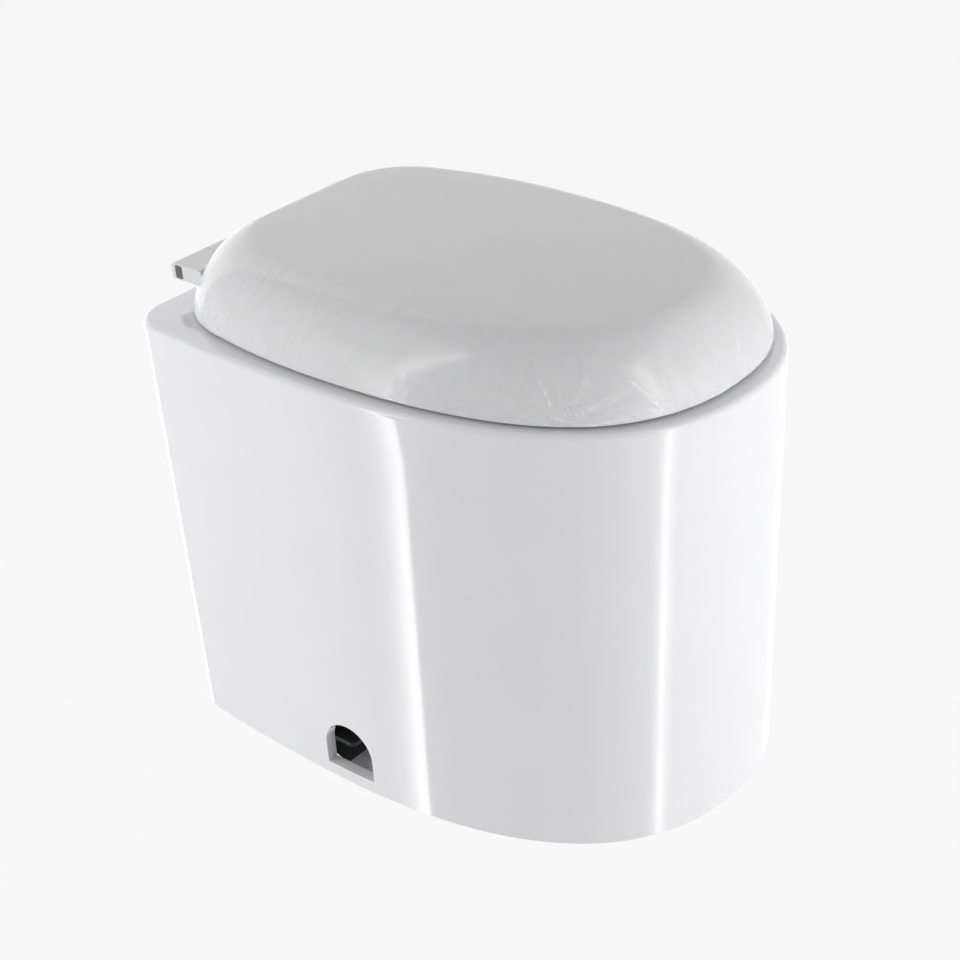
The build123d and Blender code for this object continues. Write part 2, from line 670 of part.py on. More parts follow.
# Seat ring: a thick rounded ring under the lid, with two knuckles on the hinge axis
hole_front = WIDEST_Y - LID_FRONT + SEAT_INSET + SEAT_FRONT_BAND
hole_rear = AXIS_Y - SEAT_REAR_BAND
hole_half_width = LID_HALF_WIDTH - SEAT_INSET - SEAT_SIDE_BAND
with BuildPart() as seat:
    with BuildSketch(Plane.XY.offset(SEAT_BOTTOM)):
        add(lid_plan(0, SEAT_INSET))
        with Locations((0, (hole_front + hole_rear) / 2)):
            Ellipse(hole_half_width, (hole_rear - hole_front) / 2, mode=Mode.SUBTRACT)
    extrude(amount=SEAT_THICKNESS)
    fillet(seat.faces().sort_by(Axis.Z)[-1].edges(), SEAT_ROUND)
    with BuildSketch(along_x(-WIDTH / 2, AXIS_Y, AXIS_Z)):
        Circle(SWEEP_RADIUS + LID_WALL + SIDE_GAP)
    extrude(amount=WIDTH, mode=Mode.SUBTRACT)
    for sign in (-1, 1):
        inner = sign * KNUCKLE_INNER_X
        outer = sign * (BLOCK_INNER_X - SIDE_GAP)
        with BuildSketch(along_x(inner, AXIS_Y, AXIS_Z)):
            with Locations(((BAR_BACK - BAR_FRONT - 3 * WALL) / 2, 0)):
                RectangleRounded(BAR_FRONT + BAR_BACK + 3 * WALL, BAR_THICKNESS, BAR_ROUND)
        extrude(amount=outer - inner)
        add(axis_rod(inner - sign, outer + sign, bush_radius + FIT), mode=Mode.SUBTRACT)
save(seat.part, "seat_ring")

seat_bush_pieces = [
    axis_rod(sign * KNUCKLE_INNER_X, sign * (BLOCK_INNER_X - SIDE_GAP), bush_radius, bush_bore)
    for sign in (-1, 1)
]
save(group(seat_bush_pieces), "seat_hinge_bushes")

bumpers = [
    round_bar(Plane(origin=(side * x, y, RIM_HEIGHT + MOVING_GAP)), BUMPER_RADIUS, SEAT_RISE - MOVING_GAP)
    for side in (-1, 1)
    for x, y in SEAT_BUMPERS
]
save(group(bumpers), "seat_bumpers")


def pipe(points, radius, bore, bends):
    """Round tube or lead through the points, straight runs joined by tangent arcs."""
    with BuildPart() as tube:
        with BuildLine() as route:
            FilletPolyline(*points, radius=bends)
        with BuildSketch(Plane(origin=route.line @ 0, z_dir=route.line % 0)):
            Circle(radius)
            if bore > 0:
                Circle(bore, mode=Mode.SUBTRACT)
        sweep()
    return tube.part


# Outlet seal and elbow: a rubber sleeve on the bowl's spigot, in a socket that turns to the pump's line
SEAL_LIP = 2.0
ELBOW_END = PUMP_START - FLANGE_THICKNESS
elbow_radius = ELBOW_BORE + ELBOW_WALL
seal_bottom = SPIGOT_END - SEAL_LIP - FIT
seal_radius = SPIGOT_RADIUS + FIT + SEAL_WALL
under_seal = Plane(origin=(0, OUTLET_Y, seal_bottom))
with BuildPart() as bowl_seal:
    add(round_bar(under_seal, seal_radius, SEAL_LIP + SOCKET_DEPTH, SPIGOT_RADIUS + FIT))
    add(round_bar(under_seal, seal_radius, SEAL_LIP, OUTLET_BORE))
save(bowl_seal.part, "bowl_outlet_seal")

elbow_route = [
    (0, OUTLET_Y, seal_bottom - FIT - ELBOW_WALL / 2),
    (0, OUTLET_Y, PUMP_Z),
    (0, ELBOW_END + CUT, PUMP_Z),
]
elbow_bore_route = [(0, OUTLET_Y, seal_bottom), (0, OUTLET_Y, PUMP_Z), (0, PUMP_START + CUT, PUMP_Z)]
with BuildPart() as elbow:
    add(pipe(elbow_route, elbow_radius, 0, ELBOW_BEND))
    socket_floor = under_seal.offset(-FIT - ELBOW_WALL)
    add(round_bar(socket_floor, seal_radius + FIT + ELBOW_WALL, ELBOW_WALL + SOCKET_DEPTH))
    add(round_bar(along_y(ELBOW_END), FLANGE_RADIUS, FLANGE_THICKNESS))
    add(round_bar(under_seal.offset(-FIT), seal_radius + FIT, 2 * SOCKET_DEPTH), mode=Mode.SUBTRACT)
    add(pipe(elbow_bore_route, ELBOW_BORE, 0, ELBOW_BEND), mode=Mode.SUBTRACT)
    with BuildSketch(along_y(ELBOW_END - CUT)):
        with PolarLocations(PUMP_SCREW_CIRCLE, 4, start_angle=45):
            Circle(SCREW_RADIUS + FIT)
    extrude(amount=FLANGE_THICKNESS + 2 * CUT, mode=Mode.SUBTRACT)
save(elbow.part, "inlet_elbow")

# Pump housing: a macerating chamber in front, a volute behind it, a port on top and a seal pocket
HOUSING_END = PUMP_START + HOUSING_LENGTH
PLATE_Y = PUMP_START + CHAMBER_DEPTH
VOLUTE_END = PLATE_Y + VOLUTE_DEPTH
SEAL_START = HOUSING_END - SEAL_WIDTH
port_y = PLATE_Y + VOLUTE_DEPTH / 2
port_base = Plane(origin=(PORT_X, port_y, PUMP_Z))
with BuildPart() as housing:
    add(round_bar(along_y(PUMP_START), HOUSING_RADIUS, HOUSING_LENGTH))
    add(round_bar(along_y(PUMP_START), FLANGE_RADIUS, FLANGE_THICKNESS))
    add(round_bar(along_y(HOUSING_END - FLANGE_THICKNESS), FLANGE_RADIUS, FLANGE_THICKNESS))
    add(round_bar(port_base, PORT_RADIUS, PORT_TOP - PUMP_Z))
    add(round_bar(along_y(PUMP_START - CUT), CHAMBER_RADIUS, CHAMBER_DEPTH + CUT), mode=Mode.SUBTRACT)
    add(round_bar(along_y(PLATE_Y - CUT), VOLUTE_RADIUS, VOLUTE_DEPTH + CUT), mode=Mode.SUBTRACT)
    add(round_bar(port_base, PORT_BORE, PORT_TOP), mode=Mode.SUBTRACT)
    add(round_bar(along_y(VOLUTE_END - CUT), SHAFT_RADIUS + 2, HOUSING_LENGTH), mode=Mode.SUBTRACT)
    add(round_bar(along_y(SEAL_START), SEAL_RADIUS + FIT, HOUSING_LENGTH), mode=Mode.SUBTRACT)
    for face_y in (PUMP_START, HOUSING_END - FLANGE_THICKNESS):
        with BuildSketch(along_y(face_y - CUT)):
            with PolarLocations(PUMP_SCREW_CIRCLE, 4, start_angle=45):
                Circle(SCREW_RADIUS + FIT)
        extrude(amount=FLANGE_THICKNESS + 2 * CUT, mode=Mode.SUBTRACT)
save(housing.part, "pump_housing")

save(round_bar(along_y(SEAL_START), SEAL_RADIUS, SEAL_WIDTH, SHAFT_RADIUS + RUNNING), "shaft_seal")

# Cutter plate: a slotted steel disc on the step between the chamber and the volute
SLOT_CIRCLE = 24.0
with BuildPart() as cutter_plate:
    with BuildSketch(along_y(PLATE_Y - CUTTER_PLATE)):
        Circle(CHAMBER_RADIUS - FIT)
        Circle(2 * SHAFT_RADIUS, mode=Mode.SUBTRACT)
        with PolarLocations(SLOT_CIRCLE, 8):
            SlotOverall(20, 8, mode=Mode.SUBTRACT)
    extrude(amount=CUTTER_PLATE)
save(cutter_plate.part, "cutter_plate")

# Rotating set: blade, nut, impeller and shaft
BLADE_THICKNESS = 4.0
BLADE_LENGTH = 68.0
BLADE_WIDTH = 12.0
BLADE_GAP = 2.0
NUT_THICKNESS = 5.0
IMPELLER_GAP = 2.5
VANE_THICKNESS = 3.0
HUB_RADIUS = 9.0
blade_back = PLATE_Y - CUTTER_PLATE - BLADE_GAP
blade_front = blade_back - BLADE_THICKNESS
shaft_front = blade_front - NUT_THICKNESS - 1
with BuildPart() as blade:
    with BuildSketch(along_y(blade_front)):
        Circle(HUB_RADIUS)
        SlotOverall(BLADE_LENGTH, BLADE_WIDTH)
        Circle(SHAFT_RADIUS + FIT, mode=Mode.SUBTRACT)
    extrude(amount=BLADE_THICKNESS)
    chamfer(blade.faces().sort_by(Axis.Y)[0].edges().filter_by(GeomType.LINE), 1.5)
with BuildPart() as blade_nut:
    with BuildSketch(along_y(blade_front - NUT_THICKNESS)):
        RegularPolygon(1.6 * SHAFT_RADIUS, 6)
        Circle(SHAFT_RADIUS + FIT, mode=Mode.SUBTRACT)
    extrude(amount=NUT_THICKNESS)
save(group([blade.part, blade_nut.part]), "macerator_blade")

impeller_front = PLATE_Y + IMPELLER_GAP
impeller_depth = VOLUTE_DEPTH - 2 * IMPELLER_GAP
with BuildPart() as impeller:
    with BuildSketch(along_y(impeller_front)):
        Circle(HUB_RADIUS)
        with PolarLocations(VOLUTE_RADIUS / 2, 6):
            Rectangle(VOLUTE_RADIUS - 6, VANE_THICKNESS)
    extrude(amount=impeller_depth)
    with BuildSketch(along_y(impeller_front + impeller_depth - VANE_THICKNESS)):
        Circle(VOLUTE_RADIUS - 3)
    extrude(amount=VANE_THICKNESS)
    add(round_bar(along_y(impeller_front - CUT), SHAFT_RADIUS + FIT, VOLUTE_DEPTH), mode=Mode.SUBTRACT)
save(impeller.part, "impeller")

# Motor: front bell, steel case, end cap, and the armature set on the shaft
BELL_END = HOUSING_END + BELL_LENGTH
CASE_END = BELL_END + CASE_LENGTH
CAP_END = CASE_END + END_CAP_LENGTH
case_bore = MOTOR_RADIUS - CASE_WALL
REAR_BEARING_Y = CAP_END - CASE_WALL - BEARING_WIDTH - FIT
SHAFT_END = REAR_BEARING_Y + BEARING_WIDTH
bolt_circle = case_bore - THROUGH_BOLT_RADIUS - 1
with BuildPart() as bell:
    add(round_bar(along_y(HOUSING_END), FLANGE_RADIUS, FLANGE_THICKNESS))
    add(round_bar(along_y(HOUSING_END), MOTOR_RADIUS, BELL_LENGTH))
    add(round_bar(along_y(HOUSING_END - CUT), SHAFT_RADIUS + 2, 2 * BELL_LENGTH), mode=Mode.SUBTRACT)
    bell_pocket = along_y(BELL_END - BEARING_WIDTH - FIT)
    add(round_bar(bell_pocket, BEARING_RADIUS + FIT, 2 * BELL_LENGTH), mode=Mode.SUBTRACT)
    with BuildSketch(along_y(HOUSING_END - CUT)):
        with PolarLocations(PUMP_SCREW_CIRCLE, 4, start_angle=45):
            Circle(SCREW_RADIUS + FIT)
    extrude(amount=FLANGE_THICKNESS + 2 * CUT, mode=Mode.SUBTRACT)
    with BuildSketch(along_y(BELL_END - FLANGE_THICKNESS)):
        with PolarLocations(bolt_circle, 2, start_angle=90):
            Circle(THROUGH_BOLT_RADIUS + FIT)
    extrude(amount=2 * BELL_LENGTH, mode=Mode.SUBTRACT)
save(bell.part, "motor_front_bell")

bearing_bore = SHAFT_RADIUS + RUNNING
bearing_planes = (along_y(BELL_END - BEARING_WIDTH), along_y(REAR_BEARING_Y))
bearing_pieces = [round_bar(p, BEARING_RADIUS, BEARING_WIDTH, bearing_bore) for p in bearing_planes]
save(group(bearing_pieces), "shaft_bearings")
save(round_bar(along_y(BELL_END), MOTOR_RADIUS, CASE_LENGTH, case_bore), "motor_case")

GROMMET_RADIUS = 7.0
lead_y = CASE_END + END_CAP_LENGTH / 2
lead_bore = LEAD_RADIUS + FIT
GROMMET_REACH = 6.0
with BuildPart() as end_cap:
    add(round_bar(along_y(CASE_END), MOTOR_RADIUS, END_CAP_LENGTH))
    with BuildSketch(along_x(-MOTOR_RADIUS + CASE_WALL, lead_y, PUMP_Z)):
        Circle(GROMMET_RADIUS)
    extrude(amount=-CASE_WALL - GROMMET_REACH)
    before_cap = along_y(CASE_END - CUT)
    boss_radius = BEARING_RADIUS + CASE_WALL
    cavity = round_bar(before_cap, case_bore, END_CAP_LENGTH - CASE_WALL + CUT, boss_radius)
    add(cavity, mode=Mode.SUBTRACT)
    add(round_bar(before_cap, boss_radius + CUT, REAR_BEARING_Y - CASE_END + CUT), mode=Mode.SUBTRACT)
    add(round_bar(along_y(CASE_END), BEARING_RADIUS + FIT, SHAFT_END + FIT - CASE_END), mode=Mode.SUBTRACT)
    with BuildSketch(along_x(CUT - MOTOR_RADIUS + CASE_WALL, lead_y, PUMP_Z)):
        Circle(lead_bore)
    extrude(amount=-2 * (CASE_WALL + GROMMET_REACH), mode=Mode.SUBTRACT)
    with BuildSketch(along_y(CASE_END)):
        with PolarLocations(bolt_circle, 2, start_angle=90):
            Circle(THROUGH_BOLT_RADIUS + FIT)
    extrude(amount=2 * END_CAP_LENGTH, mode=Mode.SUBTRACT)
    fillet(end_cap.faces().sort_by(Axis.Y)[-1].outer_wire().edges(), CASE_WALL * 0.6)
save(end_cap.part, "motor_end_cap")

core_start = BELL_END + WINDING_LENGTH + 8
core_end = core_start + CORE_LENGTH
winding_end = core_end + WINDING_LENGTH
save(round_bar(along_y(shaft_front), SHAFT_RADIUS, SHAFT_END - shaft_front), "motor_shaft")

with BuildPart() as core:
    with BuildSketch(along_y(core_start)):
        Circle(ARMATURE_RADIUS)
        Circle(SHAFT_RADIUS + FIT, mode=Mode.SUBTRACT)
        with PolarLocations(ARMATURE_RADIUS - 5, 12):
            Rectangle(14, 2.4, mode=Mode.SUBTRACT)
    extrude(amount=CORE_LENGTH)
save(core.part, "armature_core")

with BuildPart() as windings:
    for start in (core_start - WINDING_LENGTH, core_end):
        add(round_bar(along_y(start), WINDING_RADIUS, WINDING_LENGTH, SHAFT_RADIUS + 3))
    fillet(windings.edges().filter_by(GeomType.CIRCLE).group_by(SortBy.LENGTH)[-1], 3)
save(windings.part, "armature_windings")

with BuildPart() as commutator:
    with BuildSketch(along_y(winding_end + 1)):
        Circle(COMMUTATOR_RADIUS)
        Circle(SHAFT_RADIUS + FIT, mode=Mode.SUBTRACT)
        with PolarLocations(COMMUTATOR_RADIUS, 12):
            Rectangle(3, 0.8, mode=Mode.SUBTRACT)
    extrude(amount=COMMUTATOR_LENGTH)
save(commutator.part, "commutator")

magnet_edge = case_bore * math.cos(math.radians(MAGNET_ARC / 2))
with BuildPart() as magnets:
    with BuildSketch(along_y(core_start - 3)):
        Circle(case_bore - FIT)
        Circle(case_bore - MAGNET_THICKNESS, mode=Mode.SUBTRACT)
        with Locations((0, case_bore), (0, -case_bore)):
            Rectangle(2 * case_bore, 2 * magnet_edge, mode=Mode.SUBTRACT)
    extrude(amount=CORE_LENGTH + 6)
save(magnets.part, "field_magnets")

# Brush ring: a plate in the end cap with two boxes, a brush in each
BRUSH_Y = winding_end + 4
BRUSH_THICKNESS = 7.0
BRUSH_HEIGHT = 5.0
BOX_SKIN = 1.5
brush_plate_y = BRUSH_Y + BRUSH_THICKNESS + BOX_SKIN
brush_start = COMMUTATOR_RADIUS + MOVING_GAP
with BuildPart() as brush_ring:
    add(round_bar(along_y(brush_plate_y), case_bore - FIT, 2.5, COMMUTATOR_RADIUS + 2))
    with BuildSketch(along_y(brush_plate_y - CUT)):
        with PolarLocations(bolt_circle, 2, start_angle=90):
            Circle(THROUGH_BOLT_RADIUS + FIT)
    extrude(amount=5, mode=Mode.SUBTRACT)
    for sign in (-1, 1):
        with BuildSketch(along_x(sign * (brush_start + 3), BRUSH_Y + BRUSH_THICKNESS / 2, PUMP_Z)):
            Rectangle(BRUSH_THICKNESS + 2 * BOX_SKIN, BRUSH_HEIGHT + 2 * BOX_SKIN)
            Rectangle(BRUSH_THICKNESS + 2 * FIT, BRUSH_HEIGHT + 2 * FIT, mode=Mode.SUBTRACT)
        extrude(amount=sign * (BRUSH_LENGTH + 3))
save(brush_ring.part, "brush_ring")

brush_pieces = []
bolt_pieces = []
for sign in (-1, 1):
    with BuildPart() as brush:
        with BuildSketch(along_x(sign * brush_start, BRUSH_Y + BRUSH_THICKNESS / 2, PUMP_Z)):
            Rectangle(BRUSH_THICKNESS, BRUSH_HEIGHT)
        extrude(amount=sign * BRUSH_LENGTH)
    brush_pieces.append(brush.part)
    rear_face = Plane(origin=(0, CAP_END, PUMP_Z + sign * bolt_circle), z_dir=(0, -1, 0))
    bolt_shank = CAP_END - BELL_END + FLANGE_THICKNESS - 1
    bolt = pan_screw(rear_face, THROUGH_BOLT_RADIUS, bolt_shank, 2 * THROUGH_BOLT_RADIUS, SCREW_HEAD)
    bolt_pieces.append(bolt)
save(group(brush_pieces), "brushes")
save(group(bolt_pieces), "motor_through_bolts")

pump_screw_pieces = []
for angle in (45, 135, 225, 315):
    x = PUMP_SCREW_CIRCLE * math.cos(math.radians(angle))
    z = PUMP_Z + PUMP_SCREW_CIRCLE * math.sin(math.radians(angle))
    front_face = along_y(ELBOW_END, x, z)
    bell_face = Plane(origin=(x, HOUSING_END + FLANGE_THICKNESS, z), z_dir=(0, -1, 0))
    for face in (front_face, bell_face):
        screw = pan_screw(face, SCREW_RADIUS, 2 * FLANGE_THICKNESS, SCREW_HEAD_RADIUS, SCREW_HEAD)
        pump_screw_pieces.append(screw)

# Discharge: an elbow pushed over the port, then the one-way rubber and the hose tail
DISCHARGE_Z = PORT_TOP + DISCHARGE_BEND + 4.0
SOCKET_WALL = 5.0
FLANGE_PLATE = 6.0
TAIL_SCREW_CIRCLE = 24.5
TAIL_SCREW_RADIUS = 1.8
DUCKBILL_LENGTH = 30.0
LIP_GAP = 0.8
tail_flange_end = TAIL_FLANGE_Y + FLANGE_PLATE
tail_start = tail_flange_end + VALVE_RUBBER
tail_angles = (45, 135, 225, 315)


def discharge_plane(y):
    """Plane square to the discharge line."""
    return along_y(y, PORT_X, DISCHARGE_Z)


def tail_holes(start, depth):
    """Ring of screw holes through one of the discharge flanges."""
    with BuildPart() as holes:
        with BuildSketch(discharge_plane(start)):
            with PolarLocations(TAIL_SCREW_CIRCLE, 4, start_angle=45):
                Circle(TAIL_SCREW_RADIUS + FIT)
        extrude(amount=depth)
    return holes.part


def barbed_tail(start, end, centre_x, centre_z, radius, pitch):
    """Hose tail along Y: a plain land, then short cones no wider than the land, to the open end."""
    land_end = end - BARBS * pitch
    with BuildPart() as tail:
        add(round_bar(along_y(start, centre_x, centre_z), radius, land_end - start))
        add(round_bar(along_y(start, centre_x, centre_z), radius - BARB_RISE, end - start))
        for number in range(BARBS):
            ring_y = land_end + number * pitch
            with BuildSketch(along_y(ring_y, centre_x, centre_z)):
                Circle(radius)
            with BuildSketch(along_y(ring_y + pitch, centre_x, centre_z)):
                Circle(radius - BARB_RISE)
            loft()
    return tail.part


discharge_route = [
    (PORT_X, port_y, PORT_TOP + FIT),
    (PORT_X, port_y, DISCHARGE_Z),
    (PORT_X, tail_flange_end, DISCHARGE_Z),
]
port_collar = Plane(origin=(PORT_X, port_y, PORT_TOP - SOCKET_DEPTH))
with BuildPart() as discharge_elbow:
    add(pipe(discharge_route, DISCHARGE_RADIUS, 0, DISCHARGE_BEND))
    add(round_bar(port_collar, PORT_RADIUS + FIT + SOCKET_WALL, SOCKET_DEPTH + SOCKET_WALL))
    add(round_bar(discharge_plane(TAIL_FLANGE_Y), TAIL_FLANGE, FLANGE_PLATE))
    add(pipe(discharge_route, DISCHARGE_BORE, 0, DISCHARGE_BEND), mode=Mode.SUBTRACT)
    port_room = round_bar(port_collar.offset(-CUT), PORT_RADIUS + FIT, SOCKET_DEPTH + CUT + FIT)
    add(port_room, mode=Mode.SUBTRACT)
    add(round_bar(discharge_plane(tail_flange_end - CUT), DISCHARGE_BORE, 2 * CUT), mode=Mode.SUBTRACT)
    add(tail_holes(TAIL_FLANGE_Y - CUT, FLANGE_PLATE + 2 * CUT), mode=Mode.SUBTRACT)
save(discharge_elbow.part, "discharge_elbow")

with BuildPart() as joker:
    add(round_bar(discharge_plane(tail_flange_end), TAIL_FLANGE, VALVE_RUBBER))
    with BuildSketch(discharge_plane(tail_start)):
        Circle(HOSE_TAIL_BORE - 1)
    with BuildSketch(discharge_plane(tail_start + DUCKBILL_LENGTH)):
        SlotOverall(2 * HOSE_TAIL_BORE - 4, 4 * LIP_GAP)
    loft()
    with BuildSketch(discharge_plane(tail_start)):
        Circle(DISCHARGE_BORE - 0.5)
    with BuildSketch(discharge_plane(tail_start + DUCKBILL_LENGTH + FIT)):
        SlotOverall(2 * HOSE_TAIL_BORE - 8, LIP_GAP)
    loft(mode=Mode.SUBTRACT)
    mouth = round_bar(discharge_plane(tail_flange_end - CUT), DISCHARGE_BORE - 0.5, VALVE_RUBBER + CUT)
    add(mouth, mode=Mode.SUBTRACT)
    add(tail_holes(tail_flange_end - CUT, VALVE_RUBBER + 2 * CUT), mode=Mode.SUBTRACT)
save(joker.part, "one_way_rubber")

with BuildPart() as hose_tail:
    add(round_bar(discharge_plane(tail_start), TAIL_FLANGE, FLANGE_PLATE))
    add(barbed_tail(tail_start, HOSE_TAIL_END, PORT_X, DISCHARGE_Z, HOSE_TAIL_RADIUS, 8))
    add(round_bar(discharge_plane(tail_start - CUT), HOSE_TAIL_BORE, 2 * LENGTH), mode=Mode.SUBTRACT)
    add(tail_holes(tail_start - CUT, FLANGE_PLATE + 2 * CUT), mode=Mode.SUBTRACT)
save(hose_tail.part, "discharge_hose_tail")

TAIL_NUT_THICKNESS = 3.0
stack = 2 * FLANGE_PLATE + VALVE_RUBBER
tail_screw_pieces = []
tail_nut_pieces = []
for angle in tail_angles:
    x = PORT_X + TAIL_SCREW_CIRCLE * math.cos(math.radians(angle))
    z = DISCHARGE_Z + TAIL_SCREW_CIRCLE * math.sin(math.radians(angle))
    head_face = along_y(TAIL_FLANGE_Y, x, z)
    tail_screw_pieces.append(pan_screw(head_face, TAIL_SCREW_RADIUS, stack + 4, 3.3, 2.5))
    with BuildPart() as nut:
        with BuildSketch(along_y(TAIL_FLANGE_Y + stack, x, z)):
            RegularPolygon(3.4, 6)
            Circle(TAIL_SCREW_RADIUS + FIT, mode=Mode.SUBTRACT)
        extrude(amount=TAIL_NUT_THICKNESS)
    tail_nut_pieces.append(nut.part)

# Motor cradle: a saddle on four rubber feet, and the steel strap over the motor
cradle_bottom = TRAY_TOP + MOUNT_HEIGHT
cradle_front = CRADLE_Y - CRADLE_WIDTH / 2
saddle = MOTOR_RADIUS + FIT
with BuildPart() as cradle:
    with BuildSketch(Plane.XY.offset(cradle_bottom)):
        with Locations((0, CRADLE_Y)):
            RectangleRounded(2 * CRADLE_BASE_HALF, CRADLE_WIDTH, 5)
    extrude(amount=CRADLE_BASE)
    with BuildSketch(Plane.XY.offset(cradle_bottom)):
        with Locations((0, CRADLE_Y)):
            Rectangle(2 * CRADLE_BLOCK_HALF, CRADLE_WIDTH)
    extrude(amount=CRADLE_TOP - cradle_bottom)
    add(round_bar(along_y(cradle_front - CUT), saddle, CRADLE_WIDTH + 2 * CUT), mode=Mode.SUBTRACT)
    with Locations(*[(x, y, cradle_bottom + CRADLE_BASE) for x, y, z in mount_spots]):
        Hole(SCREW_RADIUS + FIT, CRADLE_BASE + CUT)
    with Locations(*[(side * STRAP_SCREW_X, CRADLE_Y, CRADLE_TOP) for side in (-1, 1)]):
        Hole(SCREW_RADIUS + FIT, 12)
save(cradle.part, "motor_cradle")

with BuildPart() as strap:
    with BuildSketch(along_y(CRADLE_Y - STRAP_WIDTH / 2)):
        Circle(saddle + STRAP_THICKNESS)
        with Locations((0, PUMP_Z - CRADLE_TOP - STRAP_THICKNESS / 2)):
            Rectangle(2 * CRADLE_BLOCK_HALF - 1, STRAP_THICKNESS)
        Circle(saddle, mode=Mode.SUBTRACT)
        with Locations((0, PUMP_Z - CRADLE_TOP + MOTOR_RADIUS)):
            Rectangle(3 * MOTOR_RADIUS, 2 * MOTOR_RADIUS, mode=Mode.SUBTRACT)
    extrude(amount=STRAP_WIDTH)
    with Locations(*[(side * STRAP_SCREW_X, CRADLE_Y, CRADLE_TOP + STRAP_THICKNESS) for side in (-1, 1)]):
        Hole(SCREW_RADIUS + FIT, STRAP_THICKNESS + CUT)
save(strap.part, "motor_strap")

mount_pieces = []
mount_screw_pieces = []
for x, y, z in mount_spots:
    mount_foot = Plane(origin=(x, y, z))
    mount_pieces.append(round_bar(mount_foot, MOUNT_RADIUS, MOUNT_HEIGHT, SCREW_RADIUS + FIT))
    head_face = Plane(origin=(x, y, cradle_bottom + CRADLE_BASE), z_dir=(0, 0, -1))
    shank = CRADLE_BASE + MOUNT_HEIGHT + TRAY_THICKNESS - FIT
    mount_screw_pieces.append(pan_screw(head_face, SCREW_RADIUS, shank, SCREW_HEAD_RADIUS, SCREW_HEAD))
save(group(mount_pieces), "rubber_mounts")
strap_screw_pieces = []
for sign in (-1, 1):
    head_z = CRADLE_TOP + STRAP_THICKNESS
    head_face = Plane(origin=(sign * STRAP_SCREW_X, CRADLE_Y, head_z), z_dir=(0, 0, -1))
    strap_screw_pieces.append(pan_screw(head_face, SCREW_RADIUS, 10, SCREW_HEAD_RADIUS, SCREW_HEAD))
save(group(tray_screws + pump_screw_pieces + mount_screw_pieces + strap_screw_pieces), "machine_screws")

# Solenoid valve for the rinse water, on a bent steel bracket
THREAD_RADIUS = 8.0
THREAD_DEPTH = 8.0
HEX_RADIUS = 12.0
HEX_HEIGHT = 7.0
GUIDE_POCKET = 6.0
FRAME_THICKNESS = 2.0
FRAME_HALF = 18.0
BRACKET_SCREW = 2.0
valve_left = VALVE_X - VALVE_WIDTH / 2
valve_right = VALVE_X + VALVE_WIDTH / 2
valve_back = VALVE_Y + VALVE_DEPTH / 2
valve_top = VALVE_Z + VALVE_HEIGHT / 2
valve_up = Plane(origin=(VALVE_X, VALVE_Y, VALVE_Z))
coil_line = Plane(origin=(valve_left, VALVE_Y, VALVE_Z), x_dir=(0, 1, 0), z_dir=(-1, 0, 0))
bracket_screw_spots = [(VALVE_Y - 12, VALVE_Z - 8), (VALVE_Y + 12, VALVE_Z - 8)]
with BuildPart() as valve_body:
    with Locations(Location((VALVE_X, VALVE_Y, VALVE_Z))):
        Box(VALVE_WIDTH, VALVE_DEPTH, VALVE_HEIGHT)
    fillet(valve_body.edges().filter_by(Axis.Z), 3)
    add(round_bar(along_y(VALVE_Y, VALVE_X, VALVE_Z), WATER_BORE, VALVE_DEPTH), mode=Mode.SUBTRACT)
    port = along_y(valve_back - THREAD_DEPTH, VALVE_X, VALVE_Z)
    add(round_bar(port, THREAD_RADIUS + FIT, 2 * THREAD_DEPTH), mode=Mode.SUBTRACT)
    add(round_bar(valve_up, WATER_BORE, VALVE_HEIGHT), mode=Mode.SUBTRACT)
    top_port = valve_up.offset(VALVE_HEIGHT / 2 - THREAD_DEPTH)
    add(round_bar(top_port, THREAD_RADIUS + FIT, 2 * THREAD_DEPTH), mode=Mode.SUBTRACT)
    add(round_bar(coil_line.offset(-GUIDE_POCKET), GUIDE_RADIUS + FIT, 2 * GUIDE_POCKET), mode=Mode.SUBTRACT)
    add(round_bar(coil_line.offset(-VALVE_WIDTH / 2), WATER_BORE - 1, VALVE_WIDTH), mode=Mode.SUBTRACT)
    for y, z in bracket_screw_spots:
        add(round_bar(along_x(valve_right - 7, y, z), BRACKET_SCREW + FIT, 8), mode=Mode.SUBTRACT)
save(valve_body.part, "solenoid_valve_body")


def threaded_tail(base, radius, bore, reach):
    """Hose tail with a thread below the plane, a hexagon on it and a smooth tube above."""
    with BuildPart() as tail:
        add(round_bar(base.offset(FIT - THREAD_DEPTH), THREAD_RADIUS, THREAD_DEPTH + CUT))
        with BuildSketch(base):
            RegularPolygon(HEX_RADIUS, 6)
        extrude(amount=HEX_HEIGHT)
        add(round_bar(base, radius, reach))
        add(round_bar(base.offset(-THREAD_DEPTH - CUT), bore, 2 * THREAD_DEPTH + reach), mode=Mode.SUBTRACT)
    return tail.part


inlet_base = along_y(valve_back, VALVE_X, VALVE_Z)
with BuildPart() as inlet_tail:
    add(threaded_tail(inlet_base, INLET_TAIL_RADIUS, WATER_BORE, HEX_HEIGHT))
    add(barbed_tail(valve_back + HEX_HEIGHT / 2, INLET_TAIL_END, VALVE_X, VALVE_Z, INLET_TAIL_RADIUS, 5))
    opening = along_y(valve_back + HEX_HEIGHT, VALVE_X, VALVE_Z)
    add(round_bar(opening, INLET_TAIL_BORE, LENGTH), mode=Mode.SUBTRACT)
save(inlet_tail.part, "rinse_inlet_tail")

OUTLET_TAIL_REACH = 26.0
outlet_base = Plane(origin=(VALVE_X, VALVE_Y, valve_top))
save(threaded_tail(outlet_base, HOSE_BORE - FIT, WATER_BORE, OUTLET_TAIL_REACH), "valve_outlet_tail")

